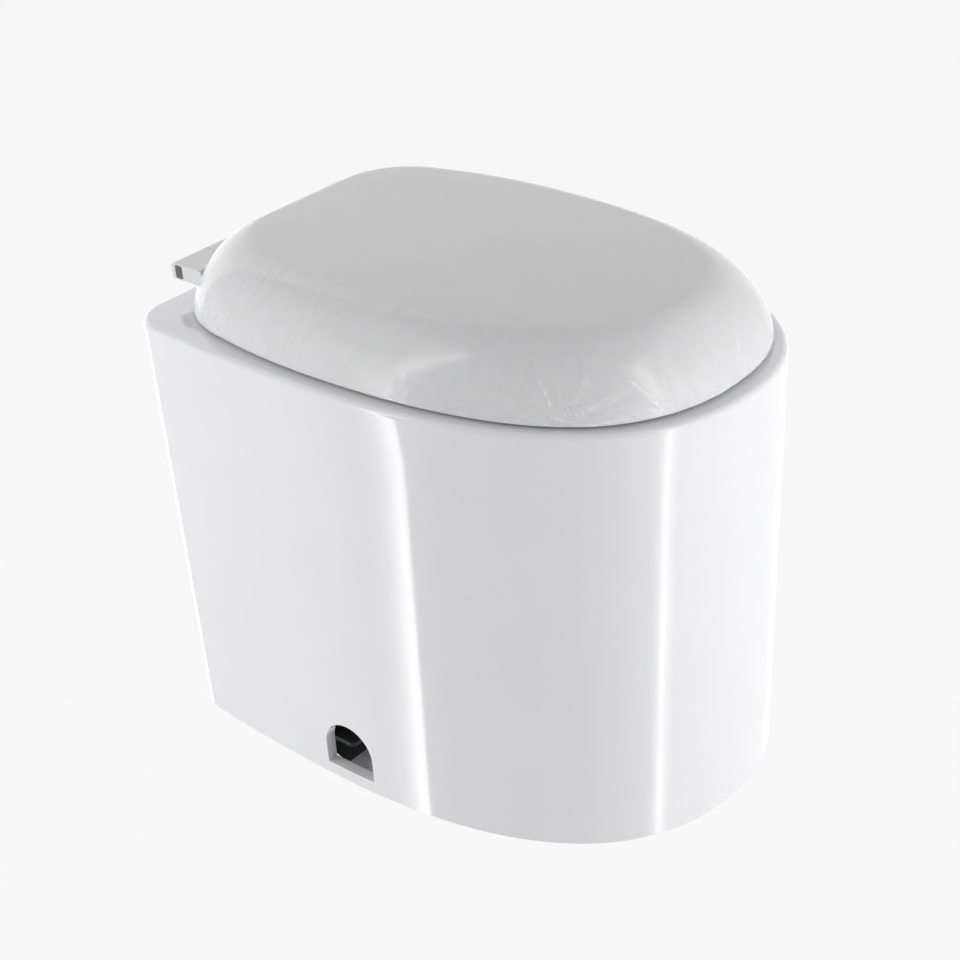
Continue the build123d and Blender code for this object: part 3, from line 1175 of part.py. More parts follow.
ELBOW_STUB_X = 24.0
ELBOW_BARB = 22.0
hose_foot = valve_top + HEX_HEIGHT + 1
hose_route = [
    (VALVE_X, VALVE_Y, hose_foot),
    (VALVE_X, VALVE_Y, SPUD_Z),
    (-ELBOW_STUB_X - 1, VALVE_Y, SPUD_Z),
]
save(pipe(hose_route, HOSE_RADIUS, HOSE_BORE, HOSE_BEND), "rinse_hose")

CLAMP_WIDTH = 8.0
CLAMP_BAND = 1.0
clamp_low = Plane(origin=(VALVE_X, VALVE_Y, hose_foot + 5))
clamp_high = Plane(origin=(-ELBOW_STUB_X - 6, VALVE_Y, SPUD_Z), x_dir=(0, 1, 0), z_dir=(-1, 0, 0))
clamp_pieces = []
for place in (clamp_low, clamp_high):
    with BuildPart() as clamp:
        add(round_bar(place, HOSE_RADIUS + FIT + CLAMP_BAND, CLAMP_WIDTH, HOSE_RADIUS + FIT))
        with BuildSketch(place):
            with Locations((0, HOSE_RADIUS + CLAMP_BAND + 3)):
                RectangleRounded(12, 6, 1.5)
        extrude(amount=CLAMP_WIDTH)
    clamp_pieces.append(clamp.part)
save(group(clamp_pieces), "hose_clamps")

# Rinse spud through the back of the bowl, its seals and nut, and the elbow behind it
SPUD_BORE = 5.5
SPUD_NUT = 7.0
SPUD_TAIL = 4.0
nut_y = SPUD_BOSS_Y + SPUD_SEAL
elbow_face = nut_y + SPUD_NUT + 1
head_y = SPUD_SEAT_Y - SPUD_SEAL - SPUD_HEAD
with BuildPart() as spud:
    add(round_bar(along_y(head_y, 0, SPUD_Z), SPUD_HEAD_RADIUS, SPUD_HEAD))
    fillet(spud.faces().sort_by(Axis.Y)[0].edges(), 2)
    add(round_bar(along_y(head_y + 2, 0, SPUD_Z), SPUD_RADIUS, elbow_face + SPUD_TAIL - head_y - 2))
    add(round_bar(along_y(head_y + 2, 0, SPUD_Z), SPUD_BORE, LENGTH), mode=Mode.SUBTRACT)
    with BuildSketch(along_y(head_y - CUT, 0, SPUD_Z)):
        with PolarLocations(SPUD_BORE - 2, 5):
            Circle(1.2)
    extrude(amount=4, mode=Mode.SUBTRACT)
save(spud.part, "rinse_spud")
seal_planes = (along_y(SPUD_SEAT_Y - SPUD_SEAL, 0, SPUD_Z), along_y(SPUD_BOSS_Y, 0, SPUD_Z))
spud_seals = [round_bar(p, SPUD_HEAD_RADIUS, SPUD_SEAL, SPUD_RADIUS + FIT) for p in seal_planes]
save(group(spud_seals), "spud_seals")
with BuildPart() as spud_nut:
    with BuildSketch(along_y(nut_y, 0, SPUD_Z)):
        RegularPolygon(SPUD_HEAD_RADIUS, 6)
        Circle(SPUD_RADIUS + FIT, mode=Mode.SUBTRACT)
    extrude(amount=SPUD_NUT)
save(spud_nut.part, "spud_nut")
with BuildPart() as rinse_elbow:
    elbow_depth = VALVE_Y + SPUD_HEAD_RADIUS - 4 - elbow_face
    add(round_bar(along_y(elbow_face, 0, SPUD_Z), SPUD_HEAD_RADIUS - 4, elbow_depth))
    stub = Plane(origin=(0, VALVE_Y, SPUD_Z), x_dir=(0, 1, 0), z_dir=(-1, 0, 0))
    add(round_bar(stub, HOSE_RADIUS, ELBOW_STUB_X))
    add(round_bar(stub, HOSE_BORE - FIT, ELBOW_STUB_X + ELBOW_BARB))
    add(round_bar(stub, WATER_BORE, 2 * ELBOW_STUB_X + ELBOW_BARB), mode=Mode.SUBTRACT)
    add(round_bar(along_y(elbow_face, 0, SPUD_Z), WATER_BORE, VALVE_Y - elbow_face), mode=Mode.SUBTRACT)
    spud_room = round_bar(along_y(elbow_face - CUT, 0, SPUD_Z), SPUD_RADIUS + FIT, SPUD_TAIL + CUT + FIT)
    add(spud_room, mode=Mode.SUBTRACT)
save(rinse_elbow.part, "rinse_elbow")

# Coil, guide tube, sprung plunger and the steel frame round the coil
guide_reach = COIL_LENGTH + 2 * FRAME_THICKNESS + 2 * FIT
plunger_tip = -GUIDE_POCKET + 1 + MOVING_GAP
plunger_bore = PLUNGER_RADIUS + RUNNING
guide_end = guide_reach + 2
with BuildPart() as guide:
    add(round_bar(coil_line.offset(FIT - GUIDE_POCKET), GUIDE_RADIUS, guide_end + GUIDE_POCKET))
    plunger_room = round_bar(coil_line.offset(1 - GUIDE_POCKET), plunger_bore, guide_end + GUIDE_POCKET - 3)
    add(plunger_room, mode=Mode.SUBTRACT)
    add(round_bar(coil_line.offset(-2 * GUIDE_POCKET), WATER_BORE - 1, 3 * GUIDE_POCKET), mode=Mode.SUBTRACT)
save(guide.part, "plunger_guide")
plunger_rear = guide_end - 2 - SPRING_LENGTH - 2 * FIT
with BuildPart() as plunger:
    add(round_bar(coil_line.offset(plunger_tip), PLUNGER_RADIUS, plunger_rear - plunger_tip))
    chamfer(plunger.edges().filter_by(GeomType.CIRCLE), 0.6)
save(plunger.part, "valve_plunger")
spring_height = SPRING_LENGTH - 2 * SPRING_WIRE
spring_foot = coil_line.offset(plunger_rear + FIT + SPRING_WIRE).origin
with BuildPart() as spring:
    with BuildLine() as coil_path:
        pitch = spring_height / SPRING_TURNS
        Helix(pitch, spring_height, SPRING_COIL, center=spring_foot, direction=(-1, 0, 0))
    with BuildSketch(Plane(origin=coil_path.line @ 0, z_dir=coil_path.line % 0)):
        Circle(SPRING_WIRE)
    sweep(path=coil_path.wire(), is_frenet=True)
save(spring.part, "valve_spring")
coil_start = coil_line.offset(FRAME_THICKNESS + FIT)
save(round_bar(coil_start, COIL_RADIUS, COIL_LENGTH, GUIDE_RADIUS + FIT), "solenoid_coil")
with BuildPart() as coil_frame:
    for start in (0, COIL_LENGTH + FRAME_THICKNESS + 2 * FIT):
        with BuildSketch(coil_line.offset(start)):
            Rectangle(2 * FRAME_HALF, 2 * FRAME_HALF)
            Circle(GUIDE_RADIUS + FIT, mode=Mode.SUBTRACT)
        extrude(amount=FRAME_THICKNESS)
    with BuildSketch(coil_line):
        with Locations((-FRAME_HALF + FRAME_THICKNESS / 4, 0)):
            Rectangle(FRAME_THICKNESS / 2, 2 * FRAME_HALF)
    extrude(amount=COIL_LENGTH + FRAME_THICKNESS + 3 * FIT)
save(coil_frame.part, "coil_frame")

FOOT_REACH = 24.0
BRACKET_HALF = 18.0
foot_screw_x = valve_right - FOOT_REACH / 2 - 2
with BuildPart() as bracket:
    with BuildSketch(Plane.XZ.offset(-VALVE_Y - BRACKET_HALF)):
        with BuildLine():
            Polyline(
                (valve_right - FOOT_REACH, TRAY_TOP),
                (valve_right + BRACKET_THICKNESS, TRAY_TOP),
                (valve_right + BRACKET_THICKNESS, valve_top),
                (valve_right, valve_top),
                (valve_right, TRAY_TOP + BRACKET_THICKNESS),
                (valve_right - FOOT_REACH, TRAY_TOP + BRACKET_THICKNESS),
                close=True,
            )
        make_face()
    extrude(amount=2 * BRACKET_HALF)
    for y, z in bracket_screw_spots:
        add(round_bar(along_x(valve_right - CUT, y, z), BRACKET_SCREW + FIT, 4), mode=Mode.SUBTRACT)
    with Locations(*[(foot_screw_x, VALVE_Y + end * 10, TRAY_TOP + BRACKET_THICKNESS) for end in (-1, 1)]):
        Hole(BRACKET_SCREW + FIT, BRACKET_THICKNESS)
save(bracket.part, "valve_bracket")
bracket_screw_pieces = []
for y, z in bracket_screw_spots:
    face = Plane(origin=(valve_right + BRACKET_THICKNESS, y, z), z_dir=(-1, 0, 0))
    bracket_screw_pieces.append(pan_screw(face, BRACKET_SCREW, BRACKET_THICKNESS + 6, 3.6, 2.2))

# Terminal box on the tray, with its cover and supply gland
box_middle = ((BOX_INNER_X + BOX_OUTER_X) / 2, (BOX_FRONT_Y + BOX_BACK_Y) / 2)
box_size = (BOX_INNER_X - BOX_OUTER_X, BOX_BACK_Y - BOX_FRONT_Y)
box_top = TRAY_TOP + BOX_HEIGHT
POST_RADIUS = 3.5
COVER_THICKNESS = 3.0
COVER_SCREW = 1.5
GLAND_RADIUS = 8.0
GLAND_X = GLAND_INSET - SERVICE_WIDTH / 2
GLAND_Z = TRAY_TOP + 0.6 * BOX_HEIGHT
motor_lead_z = TRAY_TOP + 0.55 * BOX_HEIGHT
motor_lead_y = BOX_BACK_Y - 16.0
valve_lead_spot = (BOX_OUTER_X + 14.0, BOX_BACK_Y - 22.0)
post_inset = POST_RADIUS + 1
post_x = (BOX_OUTER_X + post_inset, BOX_INNER_X - post_inset)
post_y = (BOX_FRONT_Y + post_inset, BOX_BACK_Y - post_inset)
post_spots = [(x, y) for x in post_x for y in post_y]
with BuildPart() as terminal_box:
    with BuildSketch(Plane.XY.offset(TRAY_TOP)):
        with Locations(box_middle):
            RectangleRounded(*box_size, 4)
    extrude(amount=BOX_HEIGHT)
    with BuildSketch(Plane.XY.offset(TRAY_TOP + BOX_WALL)):
        with Locations(box_middle):
            RectangleRounded(box_size[0] - 2 * BOX_WALL, box_size[1] - 2 * BOX_WALL, 2)
    extrude(amount=BOX_HEIGHT, mode=Mode.SUBTRACT)
    with BuildSketch(Plane.XY.offset(TRAY_TOP)):
        with Locations(*post_spots):
            Circle(POST_RADIUS)
    extrude(amount=BOX_HEIGHT)
    with Locations(*[(x, y, box_top) for x, y in post_spots]):
        Hole(COVER_SCREW + FIT, 12)
    gland_room = along_y(BOX_BACK_Y - 2 * BOX_WALL, GLAND_X, GLAND_Z)
    add(round_bar(gland_room, GLAND_RADIUS + FIT, 3 * BOX_WALL), mode=Mode.SUBTRACT)
    hole_start = along_x(BOX_INNER_X - 2 * BOX_WALL, motor_lead_y, motor_lead_z)
    add(round_bar(hole_start, lead_bore, 3 * BOX_WALL), mode=Mode.SUBTRACT)
save(terminal_box.part, "terminal_box")
with BuildPart() as box_cover:
    with BuildSketch(Plane.XY.offset(box_top)):
        with Locations(box_middle):
            RectangleRounded(*box_size, 4)
        with Locations(*post_spots):
            Circle(COVER_SCREW + FIT, mode=Mode.SUBTRACT)
        with Locations(valve_lead_spot):
            Circle(lead_bore, mode=Mode.SUBTRACT)
    extrude(amount=COVER_THICKNESS)
save(box_cover.part, "terminal_box_cover")
cover_screw_pieces = []
for x, y in post_spots:
    face = Plane(origin=(x, y, box_top + COVER_THICKNESS), z_dir=(0, 0, -1))
    cover_screw_pieces.append(pan_screw(face, COVER_SCREW, 12, 2.6, 1.8))
small_screws = tail_screw_pieces + tail_nut_pieces + bracket_screw_pieces + cover_screw_pieces
save(group(small_screws), "small_screws")
GLAND_BORE = 4.0
with BuildPart() as gland:
    gland_line = along_y(BOX_BACK_Y, GLAND_X, GLAND_Z)
    add(round_bar(gland_line.offset(-BOX_WALL - 5), GLAND_RADIUS, BOX_WALL + 20))
    with BuildSketch(gland_line):
        RegularPolygon(HEX_RADIUS, 6)
    extrude(amount=5)
    add(round_bar(gland_line.offset(6), GLAND_RADIUS + 2.5, 9))
    add(round_bar(gland_line.offset(-LENGTH / 2), GLAND_BORE, LENGTH), mode=Mode.SUBTRACT)
save(gland.part, "cable_gland")

# Leads inside the pedestal: one to the motor, one to the coil
LEAD_SLACK_X = 24.0
lead_out = BOX_INNER_X + LEAD_SLACK_X
motor_lead_route = [
    (BOX_INNER_X - 2 * BOX_WALL, motor_lead_y, motor_lead_z),
    (lead_out, motor_lead_y, motor_lead_z),
    (lead_out, lead_y, PUMP_Z),
    (CASE_WALL - MOTOR_RADIUS - CUT, lead_y, PUMP_Z),
]
coil_middle = valve_left - FRAME_THICKNESS - COIL_LENGTH / 2
coil_bottom = VALVE_Z - COIL_RADIUS - MOVING_GAP
valve_lead_route = [
    (*valve_lead_spot, box_top - 6),
    (*valve_lead_spot, box_top + 36),
    (coil_middle, VALVE_Y, coil_bottom - LEAD_DROP),
    (coil_middle, VALVE_Y, coil_bottom),
]
leads = [pipe(motor_lead_route, LEAD_RADIUS, 0, 11), pipe(valve_lead_route, LEAD_RADIUS, 0, 16)]
save(group(leads), "internal_leads")
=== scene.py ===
import math

import bmesh
import bpy
from mathutils import Matrix, Vector, noise
from mathutils.geometry import interpolate_bezier


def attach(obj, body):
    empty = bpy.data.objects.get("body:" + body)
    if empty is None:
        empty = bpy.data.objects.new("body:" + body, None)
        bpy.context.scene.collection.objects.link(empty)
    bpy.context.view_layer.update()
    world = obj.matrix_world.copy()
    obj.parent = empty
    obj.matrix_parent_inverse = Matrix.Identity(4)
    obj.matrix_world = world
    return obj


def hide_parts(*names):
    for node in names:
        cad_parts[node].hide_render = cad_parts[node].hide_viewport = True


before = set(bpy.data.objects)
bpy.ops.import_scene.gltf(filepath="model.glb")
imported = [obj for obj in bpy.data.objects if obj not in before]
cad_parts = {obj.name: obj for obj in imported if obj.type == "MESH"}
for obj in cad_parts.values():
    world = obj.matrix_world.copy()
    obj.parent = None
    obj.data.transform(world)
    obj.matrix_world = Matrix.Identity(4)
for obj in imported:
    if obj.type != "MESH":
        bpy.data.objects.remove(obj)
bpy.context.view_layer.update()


# Studio: a pale floor in an even, pale room, with large soft boxes at both sides of the toilet.
# The camera stands at the photograph's place, in front of the toilet and to its left.
CAMERA_TARGET = Vector((0.0, 0.0242, 0.21675))
CAMERA_DISTANCE = 1.6939
CAMERA_AZIMUTH = -47.87
CAMERA_ELEVATION = 29.61
CAMERA_ROLL = 0.070108
CAMERA_LENS = 74.066
WORLD_STRENGTH = 0.43
LEFT_POWER = 31.0
RIGHT_POWER = 27.0
BACKGROUND = (0.985, 0.985, 0.985, 1.0)
MIRRORED_ROOM = (0.62, 0.62, 0.64, 1.0)
FLOOR_SIZE = 6.0
SHADOW_SHARE = 0.12
# Half sizes of the oval of painted shade on the floor under the toilet
PAINTED_SHADE_FOOTPRINT = (0.165, 0.236, 1.0)


def toward(azimuth, elevation):
    """Unit vector from the toilet to a place round it: azimuth 0 is in front, 90 on the +X side."""
    a = math.radians(azimuth)
    e = math.radians(elevation)
    return Vector((math.sin(a) * math.cos(e), -math.cos(a) * math.cos(e), math.sin(e)))


def new_piece(name, bm):
    """Turn a bmesh into an object at the origin."""
    mesh = bpy.data.meshes.new(name)
    bm.to_mesh(mesh)
    bm.free()
    piece = bpy.data.objects.new(name, mesh)
    bpy.context.scene.collection.objects.link(piece)
    return piece


def add_node(tree, kind, **values):
    """New node in a tree, with its settings and its unlinked inputs given by name."""
    node = tree.nodes.new(kind)
    for key, value in values.items():
        if hasattr(node, key):
            setattr(node, key, value)
        else:
            node.inputs[key.replace("_", " ")].default_value = value
    return node


def new_material(name, **values):
    """Node material, its tree and its Principled shader, with the shader's plain sockets set."""
    material = bpy.data.materials.new(name)
    material.use_nodes = True
    shader = material.node_tree.nodes["Principled BSDF"]
    for key, value in values.items():
        shader.inputs[key.replace("_", " ")].default_value = value
    return material, material.node_tree, shader


away = toward(CAMERA_AZIMUTH, CAMERA_ELEVATION)
level = Vector((math.cos(math.radians(CAMERA_AZIMUTH)), math.sin(math.radians(CAMERA_AZIMUTH)), 0.0))
upward = away.cross(level)
camera_x = math.cos(CAMERA_ROLL) * level - math.sin(CAMERA_ROLL) * upward
camera_y = math.sin(CAMERA_ROLL) * level + math.cos(CAMERA_ROLL) * upward
camera_data = bpy.data.cameras.new("camera")
camera_data.lens = CAMERA_LENS
camera = bpy.data.objects.new("camera", camera_data)
camera_turn = Matrix((camera_x, camera_y, away)).transposed().to_4x4()
camera.matrix_world = Matrix.Translation(CAMERA_TARGET + away * CAMERA_DISTANCE) @ camera_turn
bpy.context.scene.collection.objects.link(camera)
bpy.context.scene.camera = camera
bpy.context.scene.view_settings.view_transform = "Standard"

world = bpy.data.worlds.new("studio")
world.use_nodes = True
bpy.context.scene.world = world
tree = world.node_tree
room_light = tree.nodes["Background"]
room_light.inputs["Color"].default_value = (1.0, 1.0, 1.0, 1.0)
room_light.inputs["Strength"].default_value = WORLD_STRENGTH
seen_room = add_node(tree, "ShaderNodeBackground", Color=BACKGROUND, Strength=1.0)
mirrored_room = add_node(tree, "ShaderNodeBackground", Color=MIRRORED_ROOM, Strength=1.0)
rays = add_node(tree, "ShaderNodeLightPath")
clear_rays = add_node(tree, "ShaderNodeMath", operation="MAXIMUM")
tree.links.new(rays.outputs["Is Camera Ray"], clear_rays.inputs[0])
tree.links.new(rays.outputs["Is Transmission Ray"], clear_rays.inputs[1])
mirror_mix = add_node(tree, "ShaderNodeMixShader")
tree.links.new(rays.outputs["Is Glossy Ray"], mirror_mix.inputs["Fac"])
tree.links.new(room_light.outputs["Background"], mirror_mix.inputs[1])
tree.links.new(mirrored_room.outputs["Background"], mirror_mix.inputs[2])
room_mix = add_node(tree, "ShaderNodeMixShader")
tree.links.new(clear_rays.outputs["Value"], room_mix.inputs["Fac"])
tree.links.new(mirror_mix.outputs["Shader"], room_mix.inputs[1])
tree.links.new(seen_room.outputs["Background"], room_mix.inputs[2])
tree.links.new(room_mix.outputs["Shader"], tree.nodes["World Output"].inputs["Surface"])

# The floor glows a little for the camera, as an overexposed sweep does, but not inside the skirt, where it is
# painted dark grey as painted shade
bm = bmesh.new()
bmesh.ops.create_grid(bm, x_segments=1, y_segments=1, size=FLOOR_SIZE)
floor = new_piece("floor", bm)
floor.visible_glossy = False
floor_paint, tree, shader = new_material("floor_paint", Roughness=0.9, Specular_IOR_Level=0.0)
spot = add_node(tree, "ShaderNodeTexCoord")
shares = add_node(tree, "ShaderNodeVectorMath", operation="DIVIDE")
shares.inputs[1].default_value = PAINTED_SHADE_FOOTPRINT
reach = add_node(tree, "ShaderNodeVectorMath", operation="LENGTH")
outside = add_node(tree, "ShaderNodeMath", operation="GREATER_THAN")
outside.inputs[1].default_value = 1.0
tree.links.new(spot.outputs["Object"], shares.inputs[0])
tree.links.new(shares.outputs["Vector"], reach.inputs[0])
tree.links.new(reach.outputs["Value"], outside.inputs[0])
# Painted shade: dark grey floor colour inside the footprint, pale floor outside it
floor_colour_and_painted_shade = add_node(tree, "ShaderNodeMix", data_type="RGBA")
floor_colour_and_painted_shade.inputs[6].default_value = (0.16, 0.16, 0.16, 1.0)
floor_colour_and_painted_shade.inputs[7].default_value = (0.90, 0.90, 0.90, 1.0)
tree.links.new(outside.outputs["Value"], floor_colour_and_painted_shade.inputs[0])
tree.links.new(floor_colour_and_painted_shade.outputs[2], shader.inputs["Base Color"])
glow = add_node(tree, "ShaderNodeEmission", Color=BACKGROUND, Strength=1.0)
rays = add_node(tree, "ShaderNodeLightPath")
share = add_node(tree, "ShaderNodeMath", operation="MULTIPLY")
share.inputs[1].default_value = 1.0 - SHADOW_SHARE
shown = add_node(tree, "ShaderNodeMath", operation="MULTIPLY")
tree.links.new(rays.outputs["Is Camera Ray"], share.inputs[0])
tree.links.new(share.outputs["Value"], shown.inputs[0])
tree.links.new(outside.outputs["Value"], shown.inputs[1])
floor_mix = add_node(tree, "ShaderNodeMixShader")
tree.links.new(shown.outputs["Value"], floor_mix.inputs["Fac"])
tree.links.new(shader.outputs["BSDF"], floor_mix.inputs[1])
tree.links.new(glow.outputs["Emission"], floor_mix.inputs[2])
tree.links.new(floor_mix.outputs["Shader"], tree.nodes["Material Output"].inputs["Surface"])
floor.data.materials.append(floor_paint)


def soft_box(name, azimuth, elevation, distance, size, power):
    """Large square lamp aimed at the toilet. It shapes the light and has no mirror image."""
    lamp_data = bpy.data.lights.new(name, "AREA")
    lamp_data.size = size
    lamp_data.energy = power
    lamp = bpy.data.objects.new(name, lamp_data)
    place = toward(azimuth, elevation)
    lamp.location = CAMERA_TARGET + place * distance
    lamp.rotation_euler = place.to_track_quat("Z", "Y").to_euler()
    lamp.visible_glossy = False
    lamp.visible_camera = False
    bpy.context.scene.collection.objects.link(lamp)


soft_box("left_box", -140.0, 8.0, 2.2, 1.6, LEFT_POWER)
soft_box("right_box", 8.0, 8.0, 2.2, 1.6, RIGHT_POWER)


def mirror_panel(name, near, stops, distance, height):
    """Upright glowing panel that only mirrors see. Each stop is an azimuth from a point, and a glow."""
    bm = bmesh.new()
    glow_layer = bm.verts.layers.float_color.new("glow")
    feet = []
    for azimuth, strength in stops:
        foot = bm.verts.new(near + toward(azimuth, 0.0) * distance)
        foot[glow_layer] = (strength, strength, strength, 1.0)
        feet.append(foot)
    edges = [bm.edges.new(pair) for pair in zip(feet, feet[1:])]
    raised = bmesh.ops.extrude_edge_only(bm, edges=edges)["geom"]
    tops = [item for item in raised if isinstance(item, bmesh.types.BMVert)]
    bmesh.ops.translate(bm, vec=(0.0, 0.0, height), verts=tops)
    bmesh.ops.translate(bm, vec=(0.0, 0.0, -height), verts=feet)
    panel = new_piece(name, bm)
    panel.visible_camera = False
    panel.visible_diffuse = False
    panel.visible_shadow = False
    panel.visible_transmission = False
    material, tree, shader = new_material(name + "_light")
    light = add_node(tree, "ShaderNodeEmission", Strength=1.0)
    colour = add_node(tree, "ShaderNodeAttribute", attribute_name="glow")
    tree.links.new(colour.outputs["Color"], light.inputs["Color"])
    tree.links.new(light.outputs["Emission"], tree.nodes["Material Output"].inputs["Surface"])
    panel.data.materials.append(material)


LEFT_STRIP = (
    (-117.6, 7.5),
    (-119.6, 7.0),
    (-122.0, 4.0),
    (-124.5, 2.2),
    (-128.0, 1.4),
    (-140.0, 1.3),
    (-155.0, 1.0),
    (-175.0, 0.7),
)
RIGHT_STRIP = (
    (-14.0, 0.8),
    (-9.5, 2.6),
    (-5.5, 6.2),
    (-1.0, 3.4),
    (4.0, 1.7),
    (30.0, 1.3),
    (90.0, 1.2),
    (184.0, 1.9),
)
mirror_panel("left_strip", Vector((-0.173, -0.058, 0.0)), LEFT_STRIP, 1.5, 2.4)
mirror_panel("right_strip", Vector((-0.081, -0.229, 0.0)), RIGHT_STRIP, 1.5, 2.4)


def make_mottle():
    """Shared effect: soft cloudiness over a surface as a mask, and finer grain as a height."""
    tree = bpy.data.node_groups.new("mottle", "ShaderNodeTree")
    for name in ("Scale", "Fine", "Stretch X", "Stretch Y", "Stretch Z"):
        tree.interface.new_socket(name, in_out="INPUT", socket_type="NodeSocketFloat")
    for name in ("Mask", "Height"):
        tree.interface.new_socket(name, in_out="OUTPUT", socket_type="NodeSocketFloat")
    given = tree.nodes.new("NodeGroupInput")
    result = tree.nodes.new("NodeGroupOutput")
    place = tree.nodes.new("ShaderNodeTexCoord")
    axes = tree.nodes.new("ShaderNodeCombineXYZ")
    for axis in "XYZ":
        tree.links.new(given.outputs["Stretch " + axis], axes.inputs[axis])
    stretched = add_node(tree, "ShaderNodeVectorMath", operation="MULTIPLY")
    tree.links.new(place.outputs["Object"], stretched.inputs[0])
    tree.links.new(axes.outputs["Vector"], stretched.inputs[1])
    broad = add_node(tree, "ShaderNodeTexNoise", Detail=3.0, Roughness=0.55)
    finer = add_node(tree, "ShaderNodeMath", operation="MULTIPLY")
    fine = add_node(tree, "ShaderNodeTexNoise", Detail=2.0, Roughness=0.6)
    tree.links.new(stretched.outputs["Vector"], broad.inputs["Vector"])
    tree.links.new(stretched.outputs["Vector"], fine.inputs["Vector"])
    tree.links.new(given.outputs["Scale"], broad.inputs["Scale"])
    tree.links.new(given.outputs["Scale"], finer.inputs[0])
    tree.links.new(given.outputs["Fine"], finer.inputs[1])
    tree.links.new(finer.outputs["Value"], fine.inputs["Scale"])
    spread = add_node(tree, "ShaderNodeMapRange", From_Min=0.3, From_Max=0.7)
    tree.links.new(broad.outputs["Fac"], spread.inputs["Value"])
    tree.links.new(spread.outputs["Result"], result.inputs["Mask"])
    tree.links.new(fine.outputs["Fac"], result.inputs["Height"])
    return tree


mottle = make_mottle()
EVEN = (1.0, 1.0, 1.0)


def finish_surface(tree, shader, scale, fine, stretch, colours, roughness, bump, depth):
    """Colour, roughness and relief from the shared mottle, with this material's own values."""
    effect = tree.nodes.new("ShaderNodeGroup")
    effect.node_tree = mottle
    effect.inputs["Scale"].default_value = scale
    effect.inputs["Fine"].default_value = fine
    for axis, value in zip("XYZ", stretch):
        effect.inputs["Stretch " + axis].default_value = value
    tint = add_node(tree, "ShaderNodeMix", data_type="RGBA")
    tint.inputs[6].default_value = (*colours[0], 1.0)
    tint.inputs[7].default_value = (*colours[1], 1.0)
    tree.links.new(effect.outputs["Mask"], tint.inputs[0])
    tree.links.new(tint.outputs[2], shader.inputs["Base Color"])
    gloss = add_node(tree, "ShaderNodeMapRange", To_Min=roughness[0], To_Max=roughness[1])
    tree.links.new(effect.outputs["Height"], gloss.inputs["Value"])
    tree.links.new(gloss.outputs["Result"], shader.inputs["Roughness"])
    relief = add_node(tree, "ShaderNodeBump", Strength=bump, Distance=depth)
    tree.links.new(effect.outputs["Height"], relief.inputs["Height"])
    tree.links.new(relief.outputs["Normal"], shader.inputs["Normal"])
    return relief


# China pedestal: skirt, rim, bowl and floor lugs, slip cast, luted together, glazed white and fired.
# The arches and the screw holes are cut while the clay is soft. The inside stays unglazed, and its dark grey colour
# is painted shade inside the hollow pedestal.
WIDEST_Y = 0.042
RIM_HEIGHT = 0.380
CHINA_HALF_WIDTH = 0.180
CHINA_FRONT = 0.294
CHINA_REAR = 0.210
CHINA_FRONT_DRAFT = 0.0144
CHINA_REAR_DRAFT = 0.0119
CHINA_REAR_HALF = 0.1687
CHINA_CORNER = 0.037
CHINA_POWER = 2.35
CHINA_WALL = 0.010
ROOF_HEIGHT = 0.366
RIM_ROUND = 0.005
BASE_ROUND = 0.0015
NOSE_STEPS = 40
FLANK_STEPS = 24
CORNER_STEPS = 12
BACK_STEPS = 8
BOWL_Y = -0.045
BOWL_HALF_WIDTH = 0.116
BOWL_HALF_LENGTH = 0.153
BOWL_WALL = 0.009
OUTLET_Y = -0.030
OUTLET_BORE = 0.022
SPIGOT_RADIUS = 0.030
SUMP_HEIGHT = 0.150
SPIGOT_END = 0.111
# Sections of the bowl: height, centre, half width and half length
BOWL_LEVELS = (
    (0.370, -0.045, 0.1163, 0.1533),
    (0.338, -0.045, 0.1190, 0.1560),
    (0.304, -0.043, 0.1120, 0.1470),
    (0.270, -0.039, 0.0960, 0.1270),
    (0.236, -0.036, 0.0800, 0.1030),
    (0.202, -0.033, 0.0620, 0.0770),
    (0.176, -0.031, 0.0470, 0.0560),
    (0.158, -0.030, 0.0370, 0.0410),
    (0.150, -0.030, 0.0300, 0.0320),
)
ARCH_Y = 0.0326
ARCH_HALF = 0.0262
ARCH_SILL = 0.013
ARCH_TOP = 0.060
SERVICE_HALF = 0.125
SERVICE_LOW = 0.018
SERVICE_HIGH = 0.236
SERVICE_CORNER = 0.024
LUG_HEIGHT = 0.008
SPUD_INSIDE = 0.108
SPUD_FACE = 0.128
SPUD_HEIGHT = 0.332
SPUD_RADIUS = 0.020
# Material slot of the unglazed inside, whose dark grey is painted shade
BARE_PAINTED_SHADE = 1


